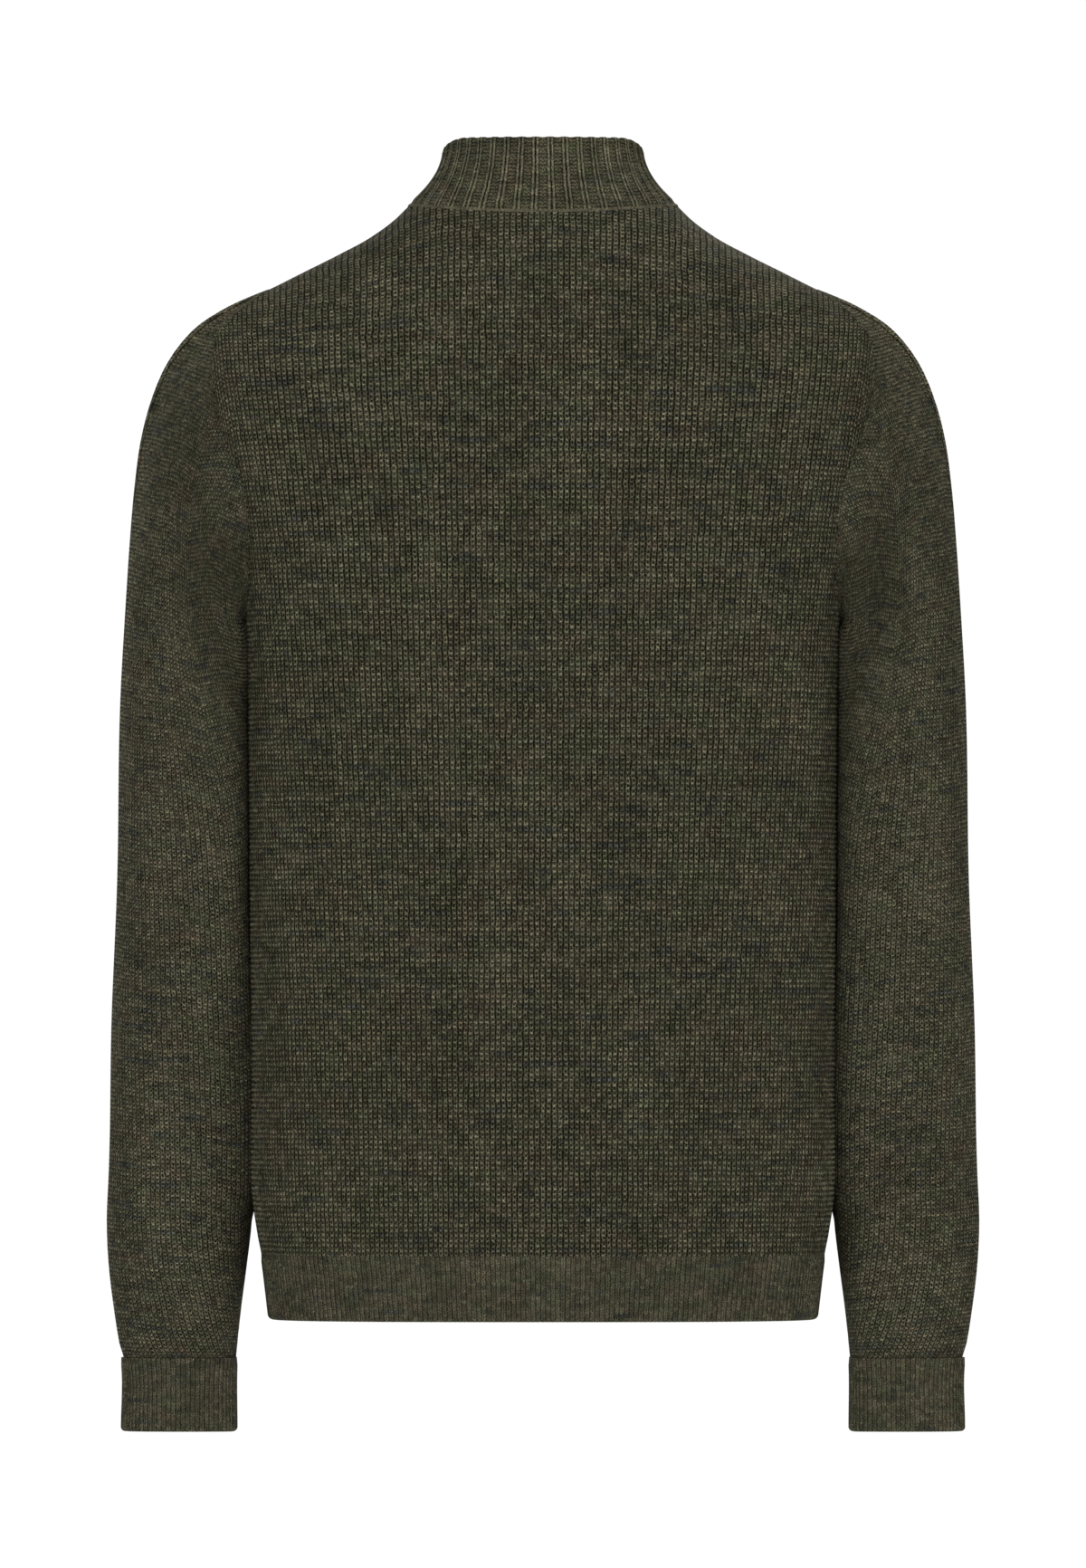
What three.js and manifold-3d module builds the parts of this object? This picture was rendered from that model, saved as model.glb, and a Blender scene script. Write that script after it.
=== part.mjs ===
// A knitted cardigan in the hollow form that it keeps when it is worn: back, two fronts, set-in
// sleeves, standing rib collar, rib welts at hem and wrists, and a zip down the front.
// Millimetres. +Z is up, -Y is the wearer's front, +X is the wearer's left. The origin is the middle
// of the neck opening, level with the collar seam at the back, where the wearer's shoulders hold it.

import * as THREE from "three";
import Module from "manifold-3d";
import { mergeVertices } from "three/addons/utils/BufferGeometryUtils.js";

const { abs, acos, atan2, cos, sin, sqrt, min, max, round, sign, PI } = Math;

// ---------------------------------------------------------------- driving dimensions

const SEAM_GAP = 0.3; // between two pieces that are sewn together
const WALLS = { body: 2.4, sleeve: 2, rib: 2, tape: 0.9 }; // thickness of each cloth

const HEM_BOTTOM = -684;
const HEM_TOP = -643;
const UNDERARM = -255; // where the side seam ends in the armhole
const CUFF_TOP_RUN = 698; // along the sleeve's outer line, from the shoulder seam
const CUFF_BOTTOM_RUN = 744;
const FRONT_EDGE = 5; // from the middle to each front's edge beside the zip

// The torso in level sections: half its width, and how deep it is behind and before.
const TORSO = [
  { z: -684, half: 169.5, back: 97, front: 104 }, // hem edge
  { z: -643, half: 174.5, back: 100, front: 108 }, // top of the rib
  { z: -615, half: 178.5, back: 105, front: 114 }, // cloth fuller above the rib
  { z: -540, half: 180, back: 105, front: 117 },
  { z: -430, half: 181.5, back: 100, front: 116 }, // waist, hollow of the back
  { z: -340, half: 182.5, back: 103, front: 118 },
  { z: -255, half: 184, back: 110, front: 123 }, // chest
  { z: -165, half: 200, back: 114, front: 118 }, // shoulder blades
  { z: -100, half: 216, back: 113, front: 106 },
  { z: -50, half: 226, back: 110, front: 95 },
  { z: 10, half: 232, back: 105, front: 84 },
];
const SQUARENESS = { back: 2.8, front: 2.4 }; // exponent of the level sections
const SHOULDER_ROUND = { back: 150, front: 120 }; // height over which the shoulders round off

// The line along the top of the shoulders, which runs on over the neck opening and the sleeve's cap.
const RIDGE = [
  { out: 0, z: 38 },
  { out: 40, z: 29 },
  { out: 83, z: 5 }, // neck point
  { out: 91, z: -2.8 },
  { out: 106, z: -14 },
  { out: 126, z: -25 },
  { out: 148, z: -36 },
  { out: 170, z: -47 }, // shoulder point
  { out: 197, z: -59 },
  { out: 214, z: -70 },
];
const NECK_POINT = 83;
const SHOULDER_POINT = { x: 170, z: -47 };
const NECK_DROP = { back: 5, front: 65 }; // neckline's lowest point below the neck point

// The armhole seam: how far out it lies behind and before, at each height.
const ARMHOLE = [
  { z: -255, back: 184, front: 184 },
  { z: -238, back: 182.5, front: 177 },
  { z: -205, back: 181.5, front: 173 },
  { z: -170, back: 184.5, front: 174 },
  { z: -150, back: 192, front: 176 },
  { z: -125, back: 201, front: 179 },
  { z: -97, back: 204, front: 182 },
  { z: -72, back: 199, front: 182 },
  { z: -59, back: 186, front: 178 },
  { z: -47, back: 170, front: 170 },
];

// Sections of the sleeve along its outer line: the outermost and innermost point of each, its depth
// behind and before, and how far the arm has come forward.
const SLEEVE = [
  { run: 0, outX: 170, outZ: -47, inX: 184, inZ: -255, back: 62, front: 69, ahead: 0 },
  { run: 30, outX: 197, outZ: -59, inX: 187, inZ: -260, back: 66, front: 70, ahead: 0 },
  { run: 50, outX: 214, outZ: -70, inX: 187, inZ: -264, back: 68, front: 70, ahead: 0 },
  { run: 78, outX: 232, outZ: -92, inX: 186.5, inZ: -270, back: 69, front: 70, ahead: 0 },
  { run: 103, outX: 242, outZ: -115, inX: 186, inZ: -277, back: 69, front: 69, ahead: 0 },
  { run: 126, outX: 248, outZ: -137, inX: 186, inZ: -284, back: 69, front: 68, ahead: 0 },
  { run: 160, outX: 253, outZ: -171, inX: 185.8, inZ: -294, back: 68, front: 67, ahead: 0 },
  { run: 194, outX: 256, outZ: -204, inX: 185.5, inZ: -305, back: 67, front: 66, ahead: 1 },
  { run: 250, outX: 259, outZ: -260, inX: 185.2, inZ: -330, back: 64, front: 63, ahead: 2 },
  { run: 362, outX: 263, outZ: -372, inX: 184.2, inZ: -394, back: 57, front: 57, ahead: 3 },
  { run: 474, outX: 266, outZ: -484, inX: 182.5, inZ: -487, back: 51, front: 51, ahead: 8 },
  { run: 586, outX: 269, outZ: -596, inX: 180.2, inZ: -596, back: 45, front: 45, ahead: 16 },
  { run: 612, outX: 270, outZ: -622, inX: 180.6, inZ: -622, back: 44, front: 44, ahead: 18 },
  { run: 642, outX: 268.7, outZ: -652, inX: 184, inZ: -652, back: 42, front: 42, ahead: 20 },
  { run: 665, outX: 266.2, outZ: -675, inX: 187, inZ: -675, back: 39, front: 39, ahead: 22 },
  { run: 687, outX: 263, outZ: -697, inX: 189.4, inZ: -697, back: 35, front: 35, ahead: 24 },
  { run: 698, outX: 261, outZ: -708, inX: 190.3, inZ: -708, back: 31, front: 31, ahead: 25 },
  { run: 744, outX: 260.6, outZ: -754, inX: 190.6, inZ: -754, back: 28, front: 28, ahead: 27 },
];
const SLEEVE_SQUARENESS = 2.15;
const SLEEVE_CLEAR = 1; // between a sleeve and the side that it hangs against
const CAP_RUN = 120; // over this run the sections leave the armhole's own shape

const COLLAR = {
  half: 57.8, // half the top edge's width
  back: 60, // how far the top edge reaches behind the origin
  front: 75, // and before it
  topBack: 47.6,
  cornerDrop: 5, // the top edge falls this much as it turns to the sides
  topFront: 4,
  flare: 1.6, // more makes its foot spread more suddenly
  squareness: 2.2,
};

// Ribs: the distance from one to the next and how far it stands out.
const RIBS = {
  collar: { pitch: 8.7, height: 1.1 },
  welt: { pitch: 3.1, height: 0.55 },
};

const ZIP = {
  depth: 3.4, // the tape's face below the cloth's face
  tapeInner: 0.4, // the tape's edge beside the middle
  tapeOuter: 15, // and under the cloth
  teethWidth: 3,
  teethSink: 0.6, // the teeth's face below the cloth's face
  teethThick: 2.5,
  boxHeight: 8,
  footRise: 0.8, // the zip ends this much above the hem's edge
  tapeFromTop: 4, // and the tape this much below the collar's edge
  sliderFromTop: 13, // below the collar's edge, along the zip
};
const STOP = { width: 2.2, height: 2.6, thick: 2, radius: 0.5, out: 1.6, aboveSlider: 1 };

const SLIDER = {
  width: 8.4,
  length: 11,
  thick: 3.6,
  lift: 0.6, // its face above the cloth's face
  bridgeWidth: 2.4,
  bridgeLength: 6.4,
  bridgeGap: 2.2,
  bridgeThick: 1,
};
const TAB = { width: 5.4, length: 25, thick: 1.2, radius: 1.1, bar: 1.2 };
const TAB_EYE = { width: 3.4, length: 3.8, radius: 0.6 }; // that hangs on the slider's bridge
const TAB_SLOT = { width: 2.2, length: 6, radius: 0.8, fromEnd: 2.4 };

const COLOURS = {
  body: { color: 0x3a3829, roughness: 0.95, metalness: 0 },
  sleeve: { color: 0x38372a, roughness: 0.95, metalness: 0 },
  rib: { color: 0x36332a, roughness: 0.95, metalness: 0 },
  tape: { color: 0x23241d, roughness: 0.85, metalness: 0 },
  metal: { color: 0x4a4741, roughness: 0.35, metalness: 1 },
};

// ---------------------------------------------------------------- numbers and tables

const lerp = (a, b, t) => a + (b - a) * t;
const clamp01 = (t) => min(1, max(0, t));
const point = (x, y, z) => new THREE.Vector3(x, y, z);

/** The slope of a table's column at one row, from the rows on both sides. */
function slopeAt(table, key, column, i) {
  const step = (j) =>
    (table[j + 1][column] - table[j][column]) / (table[j + 1][key] - table[j][key]);
  if (i === 0) return step(0);
  if (i === table.length - 1) return step(i - 1);
  const before = table[i][key] - table[i - 1][key];
  const after = table[i + 1][key] - table[i][key];
  return (step(i - 1) * after + step(i) * before) / (before + after);
}

/** A column's value at any key, on cubic pieces that pass smoothly through the table's rows. */
function lookUp(table, key, column, at) {
  let i = table.findIndex((row) => row[key] > at) - 1;
  if (i < -1) i = table.length - 2;
  if (i < 0) i = 0;
  const span = table[i + 1][key] - table[i][key];
  const t = clamp01((at - table[i][key]) / span);
  const a = table[i][column];
  const b = table[i + 1][column];
  const slopeA = slopeAt(table, key, column, i) * span;
  const slopeB = slopeAt(table, key, column, i + 1) * span;
  const rise = t * t * (3 - 2 * t);
  return a + (b - a) * rise + t * (1 - t) * (1 - t) * slopeA - t * t * (1 - t) * slopeB;
}

/** How far each point of a path lies along it. */
function lengthsOf(path) {
  const lengths = [0];
  for (let i = 1; i < path.length; i++) {
    lengths.push(lengths[i - 1] + path[i].distanceTo(path[i - 1]));
  }
  return lengths;
}

const lengthOf = (path) => lengthsOf(path).at(-1);

/** Which piece of a path each share of its length falls in, and how far along that piece. */
function locate(path, shares) {
  const lengths = lengthsOf(path);
  return shares.map((share) => {
    const want = lengths.at(-1) * share;
    let i = 1;
    while (i < path.length - 1 && lengths[i] < want) i++;
    return { i, t: clamp01((want - lengths[i - 1]) / (lengths[i] - lengths[i - 1] || 1)) };
  });
}

/** Points of a path at given shares of its length. */
const pointsAt = (path, shares) =>
  locate(path, shares).map(({ i, t }) => path[i - 1].clone().lerp(path[i], t));

/** Evenly spaced shares from 0 to 1, count + 1 of them. */
const evenShares = (count) => Array.from({ length: count + 1 }, (_, k) => k / count);

/** Points evenly spaced along a path: count + 1 of them, both ends included. */
const spread = (path, count) => pointsAt(path, evenShares(count));

// ---------------------------------------------------------------- the wearer's form

const BACK = { name: "back", way: 1, start: 0 };
const FRONT = { name: "front", way: -1, start: FRONT_EDGE };

const ridge = (x) => lookUp(RIDGE, "out", "z", abs(x));
const halfWidth = (z) => lookUp(TORSO, "z", "half", z);

/** Where the torso's cloth lies behind (+) or before (-) the side seams, at a place seen from behind. */
function depthAt(face, x, z) {
  const square = SQUARENESS[face.name];
  const across = max(0, 1 - (abs(x) / halfWidth(z)) ** square) ** (1 / square);
  const below = clamp01((ridge(x) - z) / SHOULDER_ROUND[face.name]);
  return face.way * lookUp(TORSO, "z", face.name, z) * across * sqrt(1 - (1 - below) ** 2);
}

/** How far out the torso's side lies, at a height and a depth: what a sleeve hangs against. */
function sideAt(y, z) {
  const face = y > 0 ? BACK : FRONT;
  const square = SQUARENESS[face.name];
  const deep = lookUp(TORSO, "z", face.name, z);
  return halfWidth(z) * max(0, 1 - (abs(y) / deep) ** square) ** (1 / square);
}

/** The height of a panel's top edge: neckline in the middle, shoulder seam outside the neck point. */
function topEdge(face, x) {
  if (abs(x) >= NECK_POINT) return ridge(x);
  const part = abs(x) / NECK_POINT;
  const low = ridge(NECK_POINT) - NECK_DROP[face.name];
  if (face === BACK) return low + NECK_DROP.back * part ** 2;
  return ridge(NECK_POINT) - NECK_DROP.front * sqrt(1 - part ** 2) ** 1.2;
}

/** Half of the armhole seam, from under the arm to the shoulder point, as a fine path. */
function armholePath(face, steps = 240) {
  const path = [];
  for (let i = 0; i <= steps; i++) {
    const t = (1 - cos((PI * i) / steps)) / 2;
    const z = lerp(UNDERARM, SHOULDER_POINT.z, t);
    const x = lookUp(ARMHOLE, "z", face.name, z);
    path.push(point(x, depthAt(face, x, z), z));
  }
  return path;
}

// ---------------------------------------------------------------- cloth

/** A place on a piece's face: its point, the way the face looks there, and its shift off the seam. */
class Place {
  constructor(at, facing = null, shift = point(0, 0, 0)) {
    this.at = at;
    this.facing = facing;
    this.shift = shift;
  }
}

/** Gives each place without a facing the normal of its neighbours' lattice. */
function faceOutward(rows, closed, turn) {
  const across = rows[0].length;
  rows.forEach((row, r) => {
    row.forEach((place, c) => {
      if (place.facing) return;
      const up = rows[min(r + 1, rows.length - 1)][c].at;
      const down = rows[max(r - 1, 0)][c].at;
      const next = closed ? row[(c + 1) % across].at : row[min(c + 1, across - 1)].at;
      const last = closed ? row[(c + across - 1) % across].at : row[max(c - 1, 0)].at;
      const normal = next.clone().sub(last).cross(up.clone().sub(down)).normalize();
      place.facing = normal.multiplyScalar(turn);
    });
  });
}

/** Triangles between two strings of vertices that run the same way, whatever their counts. */
function bridge(faces, a, b, shareA, shareB) {
  let i = 0;
  let j = 0;
  while (i < a.length - 1 || j < b.length - 1) {
    const stepA = j === b.length - 1 || (i < a.length - 1 && shareA[i + 1] <= shareB[j + 1]);
    if (stepA) {
      faces.push([a[i], a[i + 1], b[j]]);
      i++;
    } else {
      faces.push([a[i], b[j + 1], b[j]]);
      j++;
    }
  }
}

/** A closed wall from an outer and an inner lattice with the same rows; columns may differ. */
function wall(outer, inner, closed) {
  const vertices = [];
  const faces = [];
  const number = (rows) =>
    rows.map((row) => row.map((p) => vertices.push(p.x, p.y, p.z) / 3 - 1));
  const skins = [number(outer), number(inner)];
  skins.forEach((rows, skin) => {
    const wide = rows[0].length;
    for (let r = 0; r < rows.length - 1; r++) {
      for (let c = 0; c < (closed ? wide : wide - 1); c++) {
        const d = (c + 1) % wide;
        const quad = [rows[r][c], rows[r][d], rows[r + 1][d], rows[r + 1][c]];
        if (skin) quad.reverse();
        faces.push([quad[0], quad[1], quad[2]], [quad[0], quad[2], quad[3]]);
      }
    }
  });
  const ring = (row) => (closed ? [...row, row[0]] : row);
  const shares = (row) => ring(row).map((_, i, all) => i / (all.length - 1));
  const last = outer.length - 1;
  [0, last].forEach((r) => {
    const rim = [];
    bridge(rim, ring(skins[0][r]), ring(skins[1][r]), shares(skins[0][r]), shares(skins[1][r]));
    rim.forEach((f) => faces.push(r === 0 ? [f[0], f[2], f[1]] : f));
  });
  if (!closed) {
    for (let r = 0; r < last; r++) {
      const [o, n] = [skins[0], skins[1]];
      const e = outer[0].length - 1;
      const f = inner[0].length - 1;
      faces.push([o[r][0], o[r + 1][0], n[r + 1][0]], [o[r][0], n[r + 1][0], n[r][0]]);
      faces.push([o[r][e], n[r + 1][f], o[r + 1][e]], [o[r][e], n[r][f], n[r + 1][f]]);
    }
  }
  return solidGeometry(vertices, faces);
}

/** A geometry from vertices and faces, turned so that its volume is positive. */
function solidGeometry(vertices, faces) {
  let volume = 0;
  const [a, b, c] = [point(0, 0, 0), point(0, 0, 0), point(0, 0, 0)];
  faces.forEach((f) => {
    a.fromArray(vertices, f[0] * 3);
    b.fromArray(vertices, f[1] * 3);
    c.fromArray(vertices, f[2] * 3);
    volume += a.dot(b.clone().cross(c));
  });
  const order = volume > 0 ? (f) => f : (f) => [f[0], f[2], f[1]];
  const geometry = new THREE.BufferGeometry();
  geometry.setAttribute("position", new THREE.Float32BufferAttribute(vertices, 3));
  geometry.setIndex(faces.flatMap(order));
  return geometry;
}

/** The outer skin of places: on the cloth's face, or raised off it. */
const skinOf = (rows, raise = () => 0) =>
  rows.map((row, r) =>
    row.map((p, c) => p.at.clone().add(p.shift).addScaledVector(p.facing, raise(r, c))),
  );

const cloth = (rows, thick, closed) =>
  wall(skinOf(rows), skinOf(rows, () => -thick), closed);

// ---------------------------------------------------------------- back and fronts

const COLUMNS = { neck: 5, shoulder: 7 }; // of a half panel, inside and outside the neck point
const ZIP_STRIP = [5, 10, 15]; // columns beside the zip, from the middle
const BODY_ROWS = 10;
const ARMHOLE_ROWS = 12;
const SEAM_CROWD = 1.3; // over 1 brings the armhole's places closer together at the shoulder

/** How far up the armhole each of its places lies, closer together towards the shoulder. */
const ARMHOLE_SHARES = evenShares(ARMHOLE_ROWS).map((share) => 1 - (1 - share) ** SEAM_CROWD);

/** The armhole seam's places, from under the arm upwards. */
function armholePlaces(face) {
  const places = pointsAt(armholePath(face), ARMHOLE_SHARES).map((at) => new Place(at));
  places.forEach((place, j) => {
    const { at } = place;
    const lift = at.z - (UNDERARM + SHOULDER_POINT.z) / 2;
    place.facing = point(0.4 * max(0, lift), at.y, lift).normalize();
    const before = places[max(0, j - 1)].at;
    const after = places[min(places.length - 1, j + 1)].at;
    const across = after.clone().sub(before).cross(place.facing).normalize();
    place.outward = across.x > 0 ? across : across.negate();
  });
  return places;
}

/** The levels of a panel: where each row's ends lie and how much of the top edge's shape it has. */
function panelLevels(face) {
  const levels = [];
  for (let i = 0; i < BODY_ROWS; i++) {
    const z = lerp(HEM_TOP, UNDERARM, i / BODY_ROWS);
    levels.push({ x: halfWidth(z), edge: z, middle: z, rise: 0 });
  }
  armholePlaces(face).forEach(({ at }, j) => {
    const t = ARMHOLE_SHARES[j];
    const middle = lerp(UNDERARM, topEdge(face, face.start), t);
    levels.push({ x: at.x, edge: at.z, middle, rise: t ** 1.5 });
  });
  return levels;
}

/** A fine path along one level of a panel, between two shares of its half width. */
function levelPath(face, level, from, to, steps = 60) {
  const top = (t) => topEdge(face, lerp(face.start, SHOULDER_POINT.x, t));
  const path = [];
  for (let i = 0; i <= steps; i++) {
    const t = lerp(from, to, sin((PI / 2) * (i / steps)));
    const x = lerp(face.start, level.x, t);
    const bow = top(t) - lerp(top(0), top(1), t);
    const z = lerp(level.middle, level.edge, t) + level.rise * bow;
    path.push(point(x, depthAt(face, x, z), z));
  }
  return path;
}

/** Places across one level, from the middle or the zip edge out to the side. */
function levelPlaces(face, level) {
  const strip = face === FRONT ? ZIP_STRIP : [0];
  const share = (x) => (x - face.start) / (level.x - face.start);
  const beside = strip.slice(0, -1).map((x) => levelPath(face, level, share(x), share(x), 1)[0]);
  const knot = (NECK_POINT - face.start) / (SHOULDER_POINT.x - face.start);
  const inner = spread(levelPath(face, level, share(strip.at(-1)), knot), COLUMNS.neck);
  const outer = spread(levelPath(face, level, knot, 1), COLUMNS.shoulder);
  return [...beside, ...inner.slice(0, -1), ...outer].map((p) => new Place(p));
}

/** Gives a half panel's outer edge the facing and the seam gap of the side seam and the armhole. */
function finishSide(face, rows) {
  const seam = armholePlaces(face);
  rows.forEach((row, r) => {
    const edge = row.at(-1);
    if (r <= BODY_ROWS) edge.shift.y += (face.way * SEAM_GAP) / 2;
    if (r < BODY_ROWS) {
      edge.facing = point(1, 0, 0);
      return;
    }
    const { at, facing, outward } = seam[r - BODY_ROWS];
    edge.at.copy(at);
    edge.facing = facing.clone();
    edge.shift.addScaledVector(outward, -SEAM_GAP / 2);
  });
}

/** Gives a half panel's top edge the facing and the seam gap of the neckline and the shoulder. */
function finishTop(face, row) {
  row.forEach((place, c) => {
    const before = row[max(0, c - 1)].at;
    const after = row[min(row.length - 1, c + 1)].at;
    const run = after.clone().sub(before).normalize();
    const beyond = place.at.x - NECK_POINT;
    const atKnot = abs(beyond) < 0.01;
    if (atKnot || beyond > 0) {
      if (place !== row.at(-1)) place.facing = point(-run.z, 0, run.x).normalize();
      place.shift.y += (face.way * SEAM_GAP) / 2;
    }
    if (atKnot || beyond < 0) {
      const { x, y } = place.at;
      const lean = point(x / NECK_POINT ** 2, y / COLLAR.front ** 2, 0).normalize();
      lean.z = atKnot ? 1 : 0.8;
      place.facing = lean.addScaledVector(run, atKnot ? 0 : -lean.dot(run)).normalize();
      const rim = atKnot ? point(-1, 0, 1).normalize() : run.cross(place.facing).normalize();
      place.shift.addScaledVector(rim.z > 0 ? rim.negate() : rim, SEAM_GAP / 2);
    }
  });
}

/** Half a panel as rows of places, from its middle or its zip edge out to the side. */
function halfPanel(face) {
  const rows = panelLevels(face).map((level) => levelPlaces(face, level));
  finishSide(face, rows);
  rows[0].forEach((place) => (place.shift.z += SEAM_GAP / 2));
  finishTop(face, rows.at(-1));
  return rows;
}

const mirrorVector = (v) => point(-v.x, v.y, v.z);
const mirrorPlace = (p) =>
  new Place(mirrorVector(p.at), p.facing && mirrorVector(p.facing), mirrorVector(p.shift));
const mirrorRows = (rows) => rows.map((row) => row.map(mirrorPlace));

function backRows() {
  const rows = halfPanel(BACK).map((row) => {
    const left = row.slice().reverse();
    return [...left, ...row.slice(1).map(mirrorPlace)];
  });
  faceOutward(rows, false, 1);
  return rows;
}

function frontRows() {
  const rows = halfPanel(FRONT);
  faceOutward(rows, false, 1);
  return rows;
}

// ---------------------------------------------------------------- sleeves

/** A fine path round half of one sleeve section, from its outermost to its innermost point. */
function sectionPath(face, run, steps = 120) {
  const get = (column) => lookUp(SLEEVE, "run", column, run);
  const out = point(get("outX"), -get("ahead"), get("outZ"));
  const inn = point(get("inX"), -get("ahead"), get("inZ"));
  const middle = out.clone().add(inn).multiplyScalar(0.5);
  const arm = out.clone().sub(middle);
  const power = 2 / SLEEVE_SQUARENESS;
  const path = [];
  for (let i = 0; i <= steps; i++) {
    const turn = (PI * i) / steps;
    const c = sign(cos(turn)) * abs(cos(turn)) ** power;
    const s = abs(sin(turn)) ** power;
    const p = middle.clone().addScaledVector(arm, c);
    p.y += face.way * get(face.name) * s;
    path.push(p);
  }
  return path;
}

/** Points of half a section at the shares of the armhole's places, evening out down the sleeve. */
function halfSection(face, run) {
  const even = clamp01(run / (2 * CAP_RUN));
  const shares = evenShares(ARMHOLE_ROWS).map((share) => lerp(share ** SEAM_CROWD, share, even));
  return pointsAt(sectionPath(face, run), shares);
}

const SLEEVE_RUNS = [
  0, 12, 30, 52, 78, 104, 132, 168, 215, 270, 340, 415, 490, 550, 600, 630, 655, 680, CUFF_TOP_RUN,
];

/** One row of sleeve places for each run, going round from the shoulder by the back. */
function sleeveRows(runs) {
  const loops = [BACK, FRONT].map((face) => armholePlaces(face).reverse());
  const first = [BACK, FRONT].map((face) => halfSection(face, 0));
  return runs.map((run) => {
    const blend = clamp01(run / CAP_RUN);
    const keep = 1 - blend * blend * (3 - 2 * blend);
    const halves = [BACK, FRONT].map((face, side) =>
      halfSection(face, run).map((p, j) => {
        const off = loops[side][j].at.clone().sub(first[side][j]);
        const at = p.clone().addScaledVector(off, keep);
        if (run > 0 && at.z < UNDERARM) at.x = max(at.x, sideAt(at.y, at.z) + SLEEVE_CLEAR);
        if (run > 0) return new Place(at);
        const { facing, outward } = loops[side][j];
        return new Place(at, facing.clone(), outward.clone().multiplyScalar(SEAM_GAP / 2));
      }),
    );
    return [...halves[0], ...halves[1].slice(1, -1).reverse()];
  });
}

// ---------------------------------------------------------------- ribbed pieces

/** How high each column of a ribbed row stands, as a share of the rib's height. */
const ribHeights = (ribs, shape) => [...Array(ribs).fill(shape).flat(), shape[0]];

const WELT_RIB = [0, 1];
const COLLAR_RIB = [0, 1, 1, 0];
const PLAIN_COLUMNS = { welt: 32, cuff: 24 }; // of the plain inside

/** A ribbed wall: the outer lattice is raised rib by rib over a plain, coarser inner one. */
function ribbed(raised, plain, heights, height, closed) {
  const rise = (r, c) => heights[c] * height;
  return wall(skinOf(raised, rise), skinOf(plain, () => -WALLS.rib), closed);
}

/** Rows of places for a welt below a panel, in a given count of columns. */
function weltRows(face, from, to, columns) {
  const rows = [HEM_BOTTOM, HEM_TOP].map((z) => {
    const path = evenShares(400).map((share) => {
      const t = lerp(from, to, share);
      const side = t < 0 ? -1 : 1;
      const x = side * lerp(face.start, halfWidth(z), sin((PI / 2) * abs(t)));
      return point(x, depthAt(face, x, z), z);
    });
    return spread(path, columns).map((p, c, all) => {
      const place = new Place(p);
      if (z === HEM_TOP) place.shift.z -= SEAM_GAP / 2;
      const atSide = (end) => abs(end) === 1;
      if ((c === 0 && atSide(from)) || (c === all.length - 1 && atSide(to))) {
        place.facing = point(sign(p.x), 0, 0);
        place.shift.y += (face.way * SEAM_GAP) / 2;
      }
      return place;
    });
  });
  faceOutward(rows, false, face.way * sign(from - to));
  return rows;
}

/** A rib welt below a panel, between two shares of its half width. */
function hemGeometry(face, from, to) {
  const plain = weltRows(face, from, to, PLAIN_COLUMNS.welt);
  const ribs = round(lengthOf(plain[0].map((place) => place.at)) / RIBS.welt.pitch);
  const raised = weltRows(face, from, to, ribs * WELT_RIB.length);
  const heights = ribHeights(ribs, WELT_RIB);
  return ribbed(raised, plain, heights, RIBS.welt.height, false);
}

/** Rows of places round a cuff, in a given count of columns. */
function cuffRows(columns) {
  const rows = [CUFF_TOP_RUN, CUFF_BOTTOM_RUN].map((run) => {
    const front = sectionPath(FRONT, run).reverse();
    const loop = [...sectionPath(BACK, run), ...front.slice(1)];
    return spread(loop, columns).slice(0, -1).map((at) => new Place(at));
  });
  rows[0].forEach((place) => (place.shift.z -= SEAM_GAP / 2));
  faceOutward(rows, true, -1);
  return rows;
}

/** A wrist cuff: a closed ribbed tube below the sleeve. */
function cuffGeometry() {
  const plain = cuffRows(PLAIN_COLUMNS.cuff);
  const around = plain[0].map((place) => place.at);
  const ribs = round(lengthOf([...around, around[0]]) / RIBS.welt.pitch);
  const heights = ribHeights(ribs, WELT_RIB).slice(0, -1);
  return ribbed(cuffRows(heights.length), plain, heights, RIBS.welt.height, true);
}

// ---------------------------------------------------------------- collar

/** The neckline from the left front's zip edge round the back to the right front's. */
function neckline(front, back) {
  const last = front.length - 1;
  const inNeck = (place) => abs(place.at.x) <= NECK_POINT + 0.01;
  const left = front[last].filter(inNeck);
  const behind = back[last].filter(inNeck);
  const right = left.slice(0, -1).reverse().map(mirrorPlace);
  return [...left.slice(0, -1), ...behind, ...right];
}

/** Places at even shares of a seam, exactly on the chords between its own places. */
function placesAlong(seam, count) {
  return locate(seam.map((place) => place.at), evenShares(count)).map(({ i, t }) => {
    const mix = (what) => seam[i - 1][what].clone().lerp(seam[i][what], t);
    return new Place(mix("at"), mix("facing"), mix("shift"));
  });
}

/** The collar's top edge as a fine path, in the same direction as the neckline. */
function collarTop() {
  const power = 2 / COLLAR.squareness;
  const start = acos((FRONT_EDGE / COLLAR.half) ** (1 / power));
  return evenShares(400).map((share) => {
    const turn = lerp(-start, PI + start, share);
    const x = COLLAR.half * sign(cos(turn)) * abs(cos(turn)) ** power;
    const s = sign(sin(turn)) * abs(sin(turn)) ** power;
    const corner = COLLAR.topBack - COLLAR.cornerDrop;
    const behind = COLLAR.topBack - COLLAR.cornerDrop * (abs(x) / COLLAR.half) ** 12;
    const before = lerp(corner, COLLAR.topFront, abs(s) ** 1.4);
    return s > 0 ? point(x, COLLAR.back * s, behind) : point(x, COLLAR.front * s, before);
  });
}

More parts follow.
